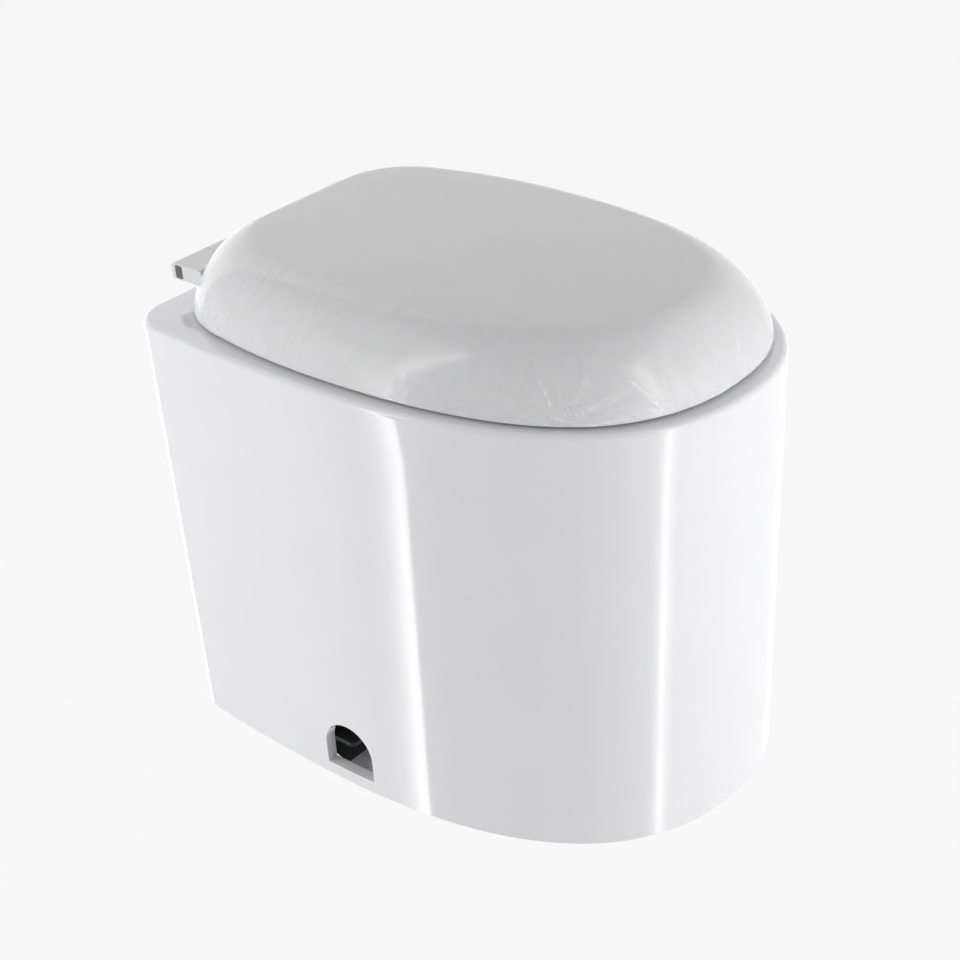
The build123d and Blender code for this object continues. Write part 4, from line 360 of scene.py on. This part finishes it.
def half_plan(half_width, front, rear, rear_half, corner, power):
    """Half of a plan: full nose, drawn-in flank, round corner and half of the straight back."""
    fullness = (8.0 * 2.0 ** (-1.0 / power) - 4.0) / 3.0
    tip = Vector((0.0, WIDEST_Y - front, 0.0))
    side = Vector((half_width, WIDEST_Y, 0.0))
    nose_handle = Vector((fullness * half_width, tip.y, 0.0))
    side_handle = Vector((half_width, WIDEST_Y - fullness * front, 0.0))
    nose = interpolate_bezier(tip, nose_handle, side_handle, side, NOSE_STEPS + 1)
    pull = Vector((half_width, WIDEST_Y + rear / 2, 0.0))
    end = Vector((rear_half, WIDEST_Y + rear, 0.0))
    low, high = 0.0, 1.0
    while high - low > 1e-9:
        t = (low + high) / 2
        first_pull = side.lerp(pull, t)
        second_pull = pull.lerp(end, t)
        flank_end = first_pull.lerp(second_pull, t)
        run = (second_pull - first_pull).normalized()
        centre = flank_end + corner * Vector((-run.y, run.x, 0.0))
        low, high = (low, t) if centre.y > end.y - corner else (t, high)
    start_handle = side.lerp(first_pull, 2 / 3)
    end_handle = flank_end.lerp(first_pull, 2 / 3)
    flank = interpolate_bezier(side, start_handle, end_handle, flank_end, FLANK_STEPS + 1)
    first = math.atan2(flank_end.y - centre.y, flank_end.x - centre.x)
    arc = []
    for i in range(1, CORNER_STEPS + 1):
        angle = first + (math.pi / 2 - first) * i / CORNER_STEPS
        arc.append(centre + corner * Vector((math.cos(angle), math.sin(angle), 0.0)))
    middle = Vector((0.0, end.y, 0.0))
    back_run = [arc[-1].lerp(middle, i / BACK_STEPS) for i in range(1, BACK_STEPS + 1)]
    return nose + flank[1:] + arc + back_run


def whole_plan(*sizes):
    """Closed outline of a plan, starting at the nose."""
    half = half_plan(*sizes)
    return half + [Vector((-p.x, p.y, 0.0)) for p in reversed(half[1:-1])]


def china_outline(height, inset):
    """Outline of the skirt at a height, drawn in by an inset."""
    draft = 1.0 - height / RIM_HEIGHT
    return whole_plan(
        CHINA_HALF_WIDTH - inset,
        CHINA_FRONT - CHINA_FRONT_DRAFT * draft - inset,
        CHINA_REAR - CHINA_REAR_DRAFT * draft - inset,
        CHINA_REAR_HALF - inset,
        CHINA_CORNER - inset,
        CHINA_POWER,
    )


def oval_outline(centre_y, half_width, half_length):
    """Ellipse with one point in the direction of each point of the skirt's outline."""
    points = []
    for p in china_outline(0.0, 0.0):
        angle = math.atan2((p.y - BOWL_Y) * half_width, p.x * half_length)
        points.append(Vector((half_width * math.cos(angle), centre_y + half_length * math.sin(angle), 0.0)))
    return points


def first_ring(bm, outline, height):
    """Closed wire of a form's first section."""
    ring = [bm.verts.new((p.x, p.y, height)) for p in outline]
    for start, end in zip(ring, ring[1:] + ring[:1]):
        bm.edges.new((start, end))
    return ring


def next_ring(bm, ring, outline, height, finish=0):
    """Extrude a section to the next one, and give back the new vertices in the same order."""
    edges = []
    for start, end in zip(ring, ring[1:] + ring[:1]):
        edges.append(next(e for e in start.link_edges if e.other_vert(start) is end))
    made = set(bmesh.ops.extrude_edge_only(bm, edges=edges)["geom"])
    lifted = []
    for vertex, p in zip(ring, outline):
        twin = next(e.other_vert(vertex) for e in vertex.link_edges if e.other_vert(vertex) in made)
        twin.co = (p.x, p.y, height)
        lifted.append(twin)
    for item in made:
        if isinstance(item, bmesh.types.BMFace):
            item.material_index = finish
    return lifted


def smooth_levels(levels, parts):
    """Rounded run of sections through a few levels."""
    rows = [Vector(row) for row in levels]
    smooth = []
    for i in range(len(rows) - 1):
        before, after = rows[max(i - 1, 0)], rows[min(i + 2, len(rows) - 1)]
        first, second = rows[i], rows[i + 1]
        for k in range(parts):
            t = k / parts
            bend = 2 * before - 5 * first + 4 * second - after
            twist = 3 * first - before - 3 * second + after
            smooth.append(first + ((second - before) * t + bend * t * t + twist * t * t * t) / 2)
    smooth.append(rows[-1])
    return smooth


glaze, tree, shader = new_material("glazed_china", IOR=1.5)
finish_surface(
    tree, shader, 14.0, 3.0, EVEN, ((0.850, 0.850, 0.876), (0.866, 0.866, 0.890)), (0.05, 0.09), 0.05, 0.0005
)
# Unglazed inside: matt, coloured dark grey as painted shade inside the hollow pedestal
bare_china_painted_shade, tree, shader = new_material("bare_china_painted_shade", Specular_IOR_Level=0.25)
finish_surface(
    tree, shader, 40.0, 9.0, EVEN, ((0.24, 0.24, 0.23), (0.32, 0.315, 0.30)), (0.75, 0.95), 0.35, 0.0006
)

bm = bmesh.new()
ring = first_ring(bm, china_outline(0.0, CHINA_WALL), 0.0)
for height in (ROOF_HEIGHT - 0.05, ROOF_HEIGHT):
    ring = next_ring(bm, ring, china_outline(height, CHINA_WALL), height, BARE_PAINTED_SHADE)
outline = oval_outline(BOWL_Y, BOWL_HALF_WIDTH + BOWL_WALL, BOWL_HALF_LENGTH + BOWL_WALL)
ring = next_ring(bm, ring, outline, ROOF_HEIGHT, BARE_PAINTED_SHADE)
for z, y, a, b in smooth_levels(BOWL_LEVELS, 2):
    if SUMP_HEIGHT + 0.004 < z < ROOF_HEIGHT - 0.002:
        ring = next_ring(bm, ring, oval_outline(y, a + BOWL_WALL, b + BOWL_WALL), z, BARE_PAINTED_SHADE)
spigot = (
    (SUMP_HEIGHT - 0.009, 0.046),
    (SUMP_HEIGHT - 0.009, SPIGOT_RADIUS),
    (SPIGOT_END, SPIGOT_RADIUS),
    (SPIGOT_END, OUTLET_BORE),
    (SUMP_HEIGHT - 0.004, OUTLET_BORE),
)
for z, radius in spigot:
    ring = next_ring(bm, ring, oval_outline(OUTLET_Y, radius, radius), z, BARE_PAINTED_SHADE)
for z, y, a, b in reversed(smooth_levels(BOWL_LEVELS, 4)):
    ring = next_ring(bm, ring, oval_outline(y, a, b), z)
for i in range(7):
    angle = math.pi / 2 * i / 6
    grow = RIM_ROUND * (1 - math.cos(angle))
    z = RIM_HEIGHT - RIM_ROUND + RIM_ROUND * math.sin(angle)
    ring = next_ring(bm, ring, oval_outline(BOWL_Y, BOWL_HALF_WIDTH + grow, BOWL_HALF_LENGTH + grow), z)
for i in range(9):
    angle = math.pi / 2 * i / 8
    inset = RIM_ROUND * (1 - math.sin(angle))
    z = RIM_HEIGHT - RIM_ROUND + RIM_ROUND * math.cos(angle)
    ring = next_ring(bm, ring, china_outline(z, inset), z)
for height in (0.34, 0.30, 0.26, 0.22, 0.18, 0.14, 0.10, 0.066, 0.006, BASE_ROUND):
    ring = next_ring(bm, ring, china_outline(height, 0.0), height)
ring = next_ring(bm, ring, china_outline(0.0, BASE_ROUND), 0.0)
next_ring(bm, ring, china_outline(0.0, CHINA_WALL), 0.0, BARE_PAINTED_SHADE)
bmesh.ops.remove_doubles(bm, verts=bm.verts, dist=1e-6)
bmesh.ops.recalc_face_normals(bm, faces=bm.faces)
china = new_piece("china_body", bm)
china.data.materials.append(glaze)
china.data.materials.append(bare_china_painted_shade)


def cut(piece, tool, operation="DIFFERENCE"):
    """Cut a tool out of a piece, or fuse it on, and throw the tool away."""
    modifier = piece.modifiers.new("cut", "BOOLEAN")
    modifier.operation = operation
    modifier.object = tool
    modifier.solver = "EXACT"
    graph = bpy.context.evaluated_depsgraph_get()
    result = bpy.data.meshes.new_from_object(piece.evaluated_get(graph))
    piece.modifiers.clear()
    piece.data = result
    bpy.data.objects.remove(tool)


def prism(outline, run):
    """Closed block: a flat outline pushed along a vector."""
    bm = bmesh.new()
    face = bm.faces.new([bm.verts.new(p) for p in outline])
    pushed = bmesh.ops.extrude_face_region(bm, geom=[face])["geom"]
    moved = [item for item in pushed if isinstance(item, bmesh.types.BMVert)]
    bmesh.ops.translate(bm, vec=run, verts=moved)
    bmesh.ops.recalc_face_normals(bm, faces=bm.faces)
    return new_piece("tool", bm)


def block(low, high, radius=0.0, axis=0):
    """Closed block between two corners, its edges along one axis rounded."""
    bm = bmesh.new()
    bmesh.ops.create_cube(bm, size=1.0)
    bmesh.ops.scale(bm, vec=Vector(high) - Vector(low), verts=bm.verts)
    bmesh.ops.translate(bm, vec=(Vector(high) + Vector(low)) / 2, verts=bm.verts)
    if radius > 0:
        edges = [e for e in bm.edges if abs((e.verts[0].co - e.verts[1].co)[axis]) > 1e-6]
        bmesh.ops.bevel(
            bm, geom=edges, offset=radius, segments=6, profile=0.5, affect="EDGES", material=-1
        )
    return new_piece("tool", bm)


def rod(start, end, radius, segments=64):
    """Closed round bar between two points."""
    bm = bmesh.new()
    run = Vector(end) - Vector(start)
    bmesh.ops.create_cone(bm, cap_ends=True, segments=segments, radius1=radius, radius2=radius, depth=run.length)
    turn = run.to_track_quat("Z", "Y").to_matrix().to_4x4()
    place = Matrix.Translation((Vector(start) + Vector(end)) / 2) @ turn
    bmesh.ops.transform(bm, matrix=place, verts=bm.verts)
    return new_piece("tool", bm)


cut(china, rod((0.0, SPUD_INSIDE + 0.004, SPUD_HEIGHT), (0.0, SPUD_FACE, SPUD_HEIGHT), SPUD_RADIUS), "UNION")
for sign in (-1, 1):
    near, far = sorted((sign * 0.120, sign * 0.173))
    cut(china, block((near, -0.032, 0.0), (far, 0.048, LUG_HEIGHT)), "UNION")
    near, far = sorted((sign * 0.100, sign * 0.148))
    cut(china, block((near, 0.206, 0.0), (far, 0.2341, LUG_HEIGHT)), "UNION")
arch = [Vector((-0.25, ARCH_Y - ARCH_HALF, ARCH_SILL)), Vector((-0.25, ARCH_Y + ARCH_HALF, ARCH_SILL))]
for i in range(33):
    angle = math.pi * i / 32
    rise = ARCH_TOP - ARCH_HALF + ARCH_HALF * math.sin(angle)
    arch.append(Vector((-0.25, ARCH_Y + ARCH_HALF * math.cos(angle), rise)))
cut(china, prism(arch, (0.5, 0.0, 0.0)))
service_low = (-SERVICE_HALF, 0.212, SERVICE_LOW)
cut(china, block(service_low, (SERVICE_HALF, 0.262, SERVICE_HIGH), SERVICE_CORNER, 1))
for sign in (-1, 1):
    cut(china, rod((sign * 0.160, ARCH_Y, -0.01), (sign * 0.160, ARCH_Y, 0.02), 0.0035, 32))
    cut(china, rod((sign * 0.096, 0.231, 0.35), (sign * 0.096, 0.231, 0.40), 0.005, 32))
cut(china, rod((0.0, SPUD_INSIDE, SPUD_HEIGHT), (0.0, 0.14, SPUD_HEIGHT), 0.0081, 32))
china.data.shade_smooth()
china.data.set_sharp_from_angle(angle=math.radians(38))
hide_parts("china_pedestal")
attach(china, "pedestal")


# Lid: a deep domed cover moulded in glossy white plastic, with a thick edge that rolls over into a
# nearly flat top. Its wing turns on the hinge pins between the knuckles of the seat.
LID_BOTTOM = 0.383
LID_HALF_WIDTH = 0.168
LID_FRONT = 0.280
LID_REAR = 0.203
LID_REAR_HALF = 0.134
LID_CORNER = 0.105
LID_POWER = 2.5
LID_HEIGHT = 0.058
LID_EDGE_INSET = 0.050
LID_EDGE_POWER = 1.6
LID_CROWN = 0.003
LID_WALL = 0.004
LID_LIP = 0.0012
LID_CENTRE = Vector((0.0, -0.020, 0.0))
AXIS_Y = 0.240
AXIS_Z = 0.404
SWEEP_RADIUS = 0.030
WING_HALF = 0.0544
BAR_LOW = (0.212, 0.397)
BAR_HIGH = (0.248, 0.411)
BAR_ROUND = 0.0025
BUFFER_SPOTS = ((0.121, -0.064), (0.104, 0.104))
BOSS_RADIUS = 0.011
BOSS_BOTTOM = 0.4233
EDGE_STEPS = 24
CROWN_STEPS = 12


def lid_outline(inset):
    """Outline of the lid, drawn in from its lower edge by an inset."""
    return whole_plan(
        LID_HALF_WIDTH - inset,
        LID_FRONT - inset,
        LID_REAR - inset,
        LID_REAR_HALF - inset,
        max(LID_CORNER - inset, 0.005),
        LID_POWER,
    )


def lid_edge(share, inset, height):
    """Inset and height of the rolled edge at a share of its quarter turn, from foot to top."""
    power = 2 / LID_EDGE_POWER
    angle = math.pi / 2 * share
    roll = LID_EDGE_INSET * (1 - max(math.cos(angle), 0.0) ** power)
    return inset + roll, LID_BOTTOM + height * math.sin(angle) ** power


def crown_rings(bm, ring, outline, height):
    """Close a skin with a shallow crown over its last section, and give back the crown's sections."""
    rings = []
    for i in range(1, CROWN_STEPS):
        share = 1 - i / CROWN_STEPS
        points = [LID_CENTRE.lerp(p, share) for p in outline]
        z = height + LID_CROWN * (1 - share * share)
        ring = next_ring(bm, ring, points, z)
        rings.append((ring, points, z))
    hub = bm.verts.new((LID_CENTRE.x, LID_CENTRE.y, height + LID_CROWN))
    for start, end in zip(ring, ring[1:] + ring[:1]):
        bm.faces.new((start, end, hub))
    return rings, hub


def lid_form(name, inset, height, lip):
    """Closed solid of the lid's shape, drawn in by an inset."""
    bm = bmesh.new()
    ring = first_ring(bm, lid_outline(inset + lip), LID_BOTTOM)
    bm.faces.new(ring)
    if lip > 0:
        ring = next_ring(bm, ring, lid_outline(inset + lip * 0.3), LID_BOTTOM + lip * 0.3)
        ring = next_ring(bm, ring, lid_outline(inset), LID_BOTTOM + lip)
    for i in range(1, EDGE_STEPS + 1):
        edge_inset, z = lid_edge(i / EDGE_STEPS, inset, height)
        outline = lid_outline(edge_inset)
        ring = next_ring(bm, ring, outline, z)
    crown_rings(bm, ring, outline, LID_BOTTOM + height)
    bmesh.ops.recalc_face_normals(bm, faces=bm.faces)
    return new_piece(name, bm)


lid = lid_form("lid_shell", 0.0, LID_HEIGHT, LID_LIP)
hollow = lid_form("tool", LID_WALL, LID_HEIGHT - LID_WALL, 0.0)
for vertex in hollow.data.vertices:
    if vertex.co.z < LID_BOTTOM + 1e-6:
        vertex.co.z = LID_BOTTOM - 0.002
for sign in (-1, 1):
    start = (sign * (WING_HALF - LID_WALL), AXIS_Y, AXIS_Z)
    cut(hollow, rod(start, (sign * 0.20, AXIS_Y, AXIS_Z), SWEEP_RADIUS + LID_WALL))
cut(lid, hollow)
for sign in (-1, 1):
    cut(lid, rod((sign * WING_HALF, AXIS_Y, AXIS_Z), (sign * 0.20, AXIS_Y, AXIS_Z), SWEEP_RADIUS))
cut(lid, block((-WING_HALF, *BAR_LOW), (WING_HALF, *BAR_HIGH), BAR_ROUND, 0), "UNION")
for sign in (-1, 1):
    near, far = sorted((sign * WING_HALF, sign * 0.0801))
    cut(lid, block((near, 0.180, 0.380), (far, 0.240, 0.4116)))
    cut(lid, rod((sign * 0.0337, AXIS_Y, AXIS_Z), (sign * 0.056, AXIS_Y, AXIS_Z), 0.00565, 32))
    for x, y in BUFFER_SPOTS:
        boss = rod((sign * x, y, BOSS_BOTTOM), (sign * x, y, LID_BOTTOM + LID_HEIGHT), BOSS_RADIUS, 32)
        cut(boss, lid_form("tool", LID_WALL / 2, LID_HEIGHT - LID_WALL / 2, 0.0), "INTERSECT")
        cut(lid, boss, "UNION")
lid.data.shade_smooth()
lid.data.set_sharp_from_angle(angle=math.radians(32))
white_plastic, tree, shader = new_material("white_plastic", IOR=1.46)
finish_surface(
    tree, shader, 18.0, 30.0, EVEN, ((0.745, 0.745, 0.755), (0.76, 0.76, 0.77)), (0.12, 0.18), 0.04, 0.0002
)
lid.data.materials.clear()
lid.data.materials.append(white_plastic)
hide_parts("lid")
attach(lid, "lid")


# Protective film: the thin clear wrap still on the new lid. It lies flat on the top, and it is
# gathered round the edge in creases that bunch together at a few places.
FILM_GAP = 0.00035
FILM_THICKNESS = 0.00008
FILM_ROWS = 40
FILM_SUBDIVIDE = 3
# Each bunch of creases: its middle, how far its creases run, how high they stand and how many there are
BUNCHES = (
    ((-0.130, -0.173, 0.384), 0.075, 0.0016, 13),
    ((-0.165, -0.050, 0.384), 0.040, 0.0008, 9),
    ((-0.070, -0.226, 0.384), 0.060, 0.0011, 11),
    ((0.010, -0.240, 0.386), 0.060, 0.0009, 10),
    ((-0.158, 0.170, 0.388), 0.060, 0.0011, 11),
    ((0.140, -0.155, 0.386), 0.060, 0.0011, 11),
)


def ridge(value, sharpness):
    """Narrow crest where a noise crosses zero."""
    return max(0.0, 1.0 - abs(value) * sharpness) ** 2


def crease_height(place, around, rise):
    """How far the film stands off the lid at a place, a direction round the edge and a rise up it."""
    edge = max(0.0, 1.0 - rise) ** 0.6
    bend = noise.noise(Vector((around.x * 3, around.y * 3, rise * 2.2))) * 0.35
    gathers = ridge(noise.noise(Vector((around.x * 9 + bend, around.y * 9 - bend, rise * 0.8 + 3))), 4.0)
    drapes = ridge(noise.noise(Vector((around.x * 21 + rise, around.y * 21, rise * 3 + 11))), 4.5)
    slants = ridge(noise.noise(Vector((around.x * 6 - rise * 3, around.y * 6 + rise * 2, 23.0))), 6.0)
    calm = 0.35 + 0.65 * max(0.0, noise.noise(Vector((around.x * 3, around.y * 3, 31.0))) + 0.45)
    height = edge * calm * (0.00035 * gathers + 0.0001 * drapes + 0.0002 * slants)
    outward = Vector((place.x, place.y - LID_CENTRE.y)).normalized()
    for middle, reach, stand, count in BUNCHES:
        offset = place - Vector(middle)
        near = 1.0 - offset.length / reach
        if near > 0:
            spoke = math.atan2(offset.z, offset.y * outward.x - offset.x * outward.y)
            sway = noise.noise(Vector((offset.length * 25, spoke * 1.5, middle[1] * 90)))
            length = 0.5 + noise.noise(Vector((spoke * 3.0, middle[0] * 50, 9.0)))
            pleat = max(0.0, math.cos(spoke * count + sway * 3.0)) ** 2
            height += stand * pleat * max(0.0, near - 0.6 * length) * min(1.0, offset.length / 0.010)
    return height


film_rows = []
for i in range(FILM_ROWS + 1):
    inset, z = lid_edge(i / FILM_ROWS, 0.0, LID_HEIGHT)
    corners = lid_outline(inset)
    outline = []
    for start, end in zip(corners, corners[1:] + corners[:1]):
        outline += [start.lerp(end, k / FILM_SUBDIVIDE) for k in range(FILM_SUBDIVIDE)]
    film_rows.append((outline, z + (0.0006 if i == 0 else 0.0), i / FILM_ROWS))
bm = bmesh.new()
amount = bm.verts.layers.float.new("crease")
outline, z, rise = film_rows[0]
ring = first_ring(bm, outline, z)
rings = [(ring, outline, z, rise)]
for outline, z, rise in film_rows[1:]:
    ring = next_ring(bm, ring, outline, z)
    rings.append((ring, outline, z, rise))
crown, hub = crown_rings(bm, ring, outline, LID_BOTTOM + LID_HEIGHT)
hub.co.z += FILM_GAP
rings += [(*row, 1.0) for row in crown]
for ring, outline, z, rise in rings:
    quarter = math.pi / 2 * rise
    slope = math.atan2(math.sin(quarter) ** 0.75, max(math.cos(quarter), 0.0) ** 0.75)
    for k, (vertex, p) in enumerate(zip(ring, outline)):
        turn = 2 * math.pi * k / len(ring)
        place = Vector((p.x, p.y, z))
        height = crease_height(place, Vector((math.cos(turn), math.sin(turn))), rise)
        outward = (p - LID_CENTRE).normalized()
        normal = outward * math.cos(slope) + Vector((0.0, 0.0, math.sin(slope)))
        vertex.co = place + normal * (FILM_GAP + height)
        vertex[amount] = min(1.0, height / 0.0012)
# The film is open round the hinge, where the knuckles of the seat and of the hinge pass
hinge_faces = []
for face in bm.faces:
    spot = face.calc_center_median()
    if math.hypot(spot.y - AXIS_Y, spot.z - AXIS_Z) < SWEEP_RADIUS + 0.0015:
        hinge_faces.append(face)
bmesh.ops.delete(bm, geom=hinge_faces, context="FACES")
bmesh.ops.recalc_face_normals(bm, faces=bm.faces)
bmesh.ops.solidify(bm, geom=list(bm.faces), thickness=FILM_THICKNESS)
film = new_piece("lid_film", bm)
film.visible_shadow = False
film.data.shade_smooth()
clear_film, tree, shader = new_material("clear_film", IOR=1.5, Roughness=0.12)
crease = add_node(tree, "ShaderNodeAttribute", attribute_name="crease")
place = add_node(tree, "ShaderNodeTexCoord")
haze = add_node(tree, "ShaderNodeTexNoise", Scale=9.0, Detail=3.0, Roughness=0.6)
tree.links.new(place.outputs["Object"], haze.inputs["Vector"])
streaks = add_node(tree, "ShaderNodeMapRange", From_Min=0.45, From_Max=0.75, To_Min=0.0, To_Max=0.04)
tree.links.new(haze.outputs["Fac"], streaks.inputs["Value"])
body = add_node(tree, "ShaderNodeMapRange", To_Min=0.16, To_Max=0.46)
tree.links.new(crease.outputs["Fac"], body.inputs["Value"])
cover = add_node(tree, "ShaderNodeMath", operation="ADD")
tree.links.new(body.outputs["Result"], cover.inputs[0])
tree.links.new(streaks.outputs["Result"], cover.inputs[1])
tree.links.new(cover.outputs["Value"], shader.inputs["Alpha"])
# Creases are more opaque where the film folds on itself, and whiter as a painted highlight along the crease lines
crease_tone_and_painted_highlight = add_node(tree, "ShaderNodeMix", data_type="RGBA")
crease_tone_and_painted_highlight.inputs[6].default_value = (0.84, 0.84, 0.85, 1.0)
crease_tone_and_painted_highlight.inputs[7].default_value = (0.95, 0.95, 0.95, 1.0)
tree.links.new(crease.outputs["Fac"], crease_tone_and_painted_highlight.inputs[0])
tree.links.new(crease_tone_and_painted_highlight.outputs[2], shader.inputs["Base Color"])
relief = add_node(tree, "ShaderNodeBump", Strength=0.03, Distance=0.0004)
tree.links.new(haze.outputs["Fac"], relief.inputs["Height"])
tree.links.new(relief.outputs["Normal"], shader.inputs["Normal"])
film.data.materials.append(clear_film)
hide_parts("protective_film")
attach(film, "lid")


def dress(material, *names):
    """Give pieces that come straight from the frame their finish."""
    for name in names:
        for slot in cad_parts[name].material_slots:
            slot.material = material


# Seat and hinge: white moulded plastic like the lid's, with darker satin caps and bushes and softer,
# pale feet. The pins, studs and nuts are plain stainless steel, as is every screw.
grey_plastic, tree, shader = new_material("grey_plastic", IOR=1.46)
finish_surface(
    tree, shader, 60.0, 22.0, EVEN, ((0.085, 0.085, 0.095), (0.11, 0.11, 0.12)), (0.32, 0.48), 0.10, 0.0002
)
pale_rubber, tree, shader = new_material("pale_rubber", IOR=1.4, Subsurface_Weight=0.1)
finish_surface(
    tree, shader, 90.0, 12.0, EVEN, ((0.60, 0.60, 0.57), (0.68, 0.68, 0.65)), (0.45, 0.65), 0.08, 0.0002
)
steel, tree, shader = new_material("stainless_steel", Metallic=1.0)
finish_surface(
    tree, shader, 120.0, 14.0, (1.0, 0.12, 1.0), ((0.50, 0.50, 0.51), (0.60, 0.60, 0.60)), (0.22, 0.40), 0.12, 0.0001
)
dress(white_plastic, "seat_ring", "hinge_blocks")
dress(grey_plastic, "hinge_end_caps", "lid_hinge_bushes", "seat_hinge_bushes")
dress(pale_rubber, "seat_bumpers", "lid_buffers")
dress(steel, "hinge_pins", "hinge_studs_and_nuts", "machine_screws", "small_screws", "hose_clamps")


# Rubber: gaskets, the sleeve on the bowl's spigot, the one-way valve, the feet of the cradle, the
# rinse hose and the leads. All are matt black with a faint bloom.
black_rubber, tree, shader = new_material("black_rubber", IOR=1.45)
finish_surface(
    tree, shader, 45.0, 20.0, EVEN, ((0.018, 0.018, 0.019), (0.040, 0.040, 0.042)), (0.60, 0.85), 0.15, 0.0002
)
dress(black_rubber, "hinge_washers", "bowl_outlet_seal", "shaft_seal", "one_way_rubber", "rubber_mounts")
dress(black_rubber, "spud_seals", "internal_leads", "rinse_hose")


# Pump and pipework: glass-filled black nylon mouldings with a fine spark-eroded grain, and the steel
# plate and blade that shred what passes.
black_plastic, tree, shader = new_material("black_plastic", IOR=1.5)
finish_surface(
    tree, shader, 70.0, 26.0, EVEN, ((0.020, 0.020, 0.022), (0.032, 0.032, 0.035)), (0.38, 0.58), 0.22, 0.0003
)
dress(black_plastic, "inlet_elbow", "pump_housing", "impeller", "discharge_elbow", "discharge_hose_tail")
dress(black_plastic, "motor_cradle", "rinse_inlet_tail", "valve_outlet_tail", "rinse_elbow", "brush_ring")
dress(black_plastic, "cable_gland", "solenoid_coil")
dress(steel, "cutter_plate", "macerator_blade", "motor_shaft", "shaft_bearings", "motor_through_bolts")


# Motor: powder-coated steel case and end cap, die-cast front bell, stacked laminations, lacquered
# copper windings and commutator, dark ferrite magnets and carbon brushes.
motor_paint, tree, shader = new_material("motor_paint", IOR=1.5)
finish_surface(
    tree, shader, 30.0, 40.0, EVEN, ((0.024, 0.025, 0.028), (0.034, 0.035, 0.038)), (0.30, 0.50), 0.30, 0.0003
)
cast_aluminium, tree, shader = new_material("cast_aluminium", Metallic=1.0)
finish_surface(
    tree, shader, 55.0, 18.0, EVEN, ((0.48, 0.49, 0.50), (0.60, 0.61, 0.62)), (0.42, 0.62), 0.30, 0.0004
)
laminations, tree, shader = new_material("steel_laminations", Metallic=0.8)
relief = finish_surface(
    tree, shader, 60.0, 8.0, EVEN, ((0.13, 0.13, 0.135), (0.19, 0.19, 0.20)), (0.40, 0.60), 0.40, 0.0003
)
place = add_node(tree, "ShaderNodeTexCoord")
stack = add_node(tree, "ShaderNodeTexWave", bands_direction="Y", Scale=320.0, Distortion=0.2)
tree.links.new(place.outputs["Object"], stack.inputs["Vector"])
tree.links.new(stack.outputs["Fac"], relief.inputs["Height"])
copper, tree, shader = new_material("copper", Metallic=1.0)
relief = finish_surface(
    tree, shader, 80.0, 10.0, EVEN, ((0.55, 0.24, 0.11), (0.72, 0.36, 0.18)), (0.25, 0.42), 0.50, 0.0005
)
place = add_node(tree, "ShaderNodeTexCoord")
strands = add_node(tree, "ShaderNodeTexWave", bands_direction="DIAGONAL", Scale=260.0, Distortion=3.0)
tree.links.new(place.outputs["Object"], strands.inputs["Vector"])
tree.links.new(strands.outputs["Fac"], relief.inputs["Height"])
carbon, tree, shader = new_material("carbon", IOR=1.6)
finish_surface(
    tree, shader, 150.0, 10.0, EVEN, ((0.020, 0.020, 0.022), (0.045, 0.045, 0.048)), (0.45, 0.70), 0.30, 0.0002
)
dress(motor_paint, "motor_case", "motor_end_cap")
dress(cast_aluminium, "motor_front_bell")
dress(laminations, "armature_core")
dress(copper, "armature_windings", "commutator")
dress(carbon, "brushes", "field_magnets")
dress(steel, "motor_strap")


# Rinse valve, spud and wiring: off-white acetal mouldings, steel coil frame and bracket, and a grey
# terminal box on the grey board that carries the machinery.
pale_plastic, tree, shader = new_material("pale_plastic", IOR=1.48)
finish_surface(
    tree, shader, 35.0, 30.0, EVEN, ((0.64, 0.64, 0.61), (0.70, 0.70, 0.67)), (0.32, 0.46), 0.12, 0.0002
)
grey_board, tree, shader = new_material("grey_board", IOR=1.48)
finish_surface(
    tree, shader, 26.0, 34.0, EVEN, ((0.085, 0.088, 0.092), (0.115, 0.118, 0.122)), (0.42, 0.62), 0.20, 0.0003
)
dress(pale_plastic, "solenoid_valve_body", "rinse_spud", "spud_nut")
dress(grey_board, "pump_tray", "terminal_box", "terminal_box_cover")
dress(steel, "coil_frame", "valve_bracket", "valve_spring", "valve_plunger", "plunger_guide")
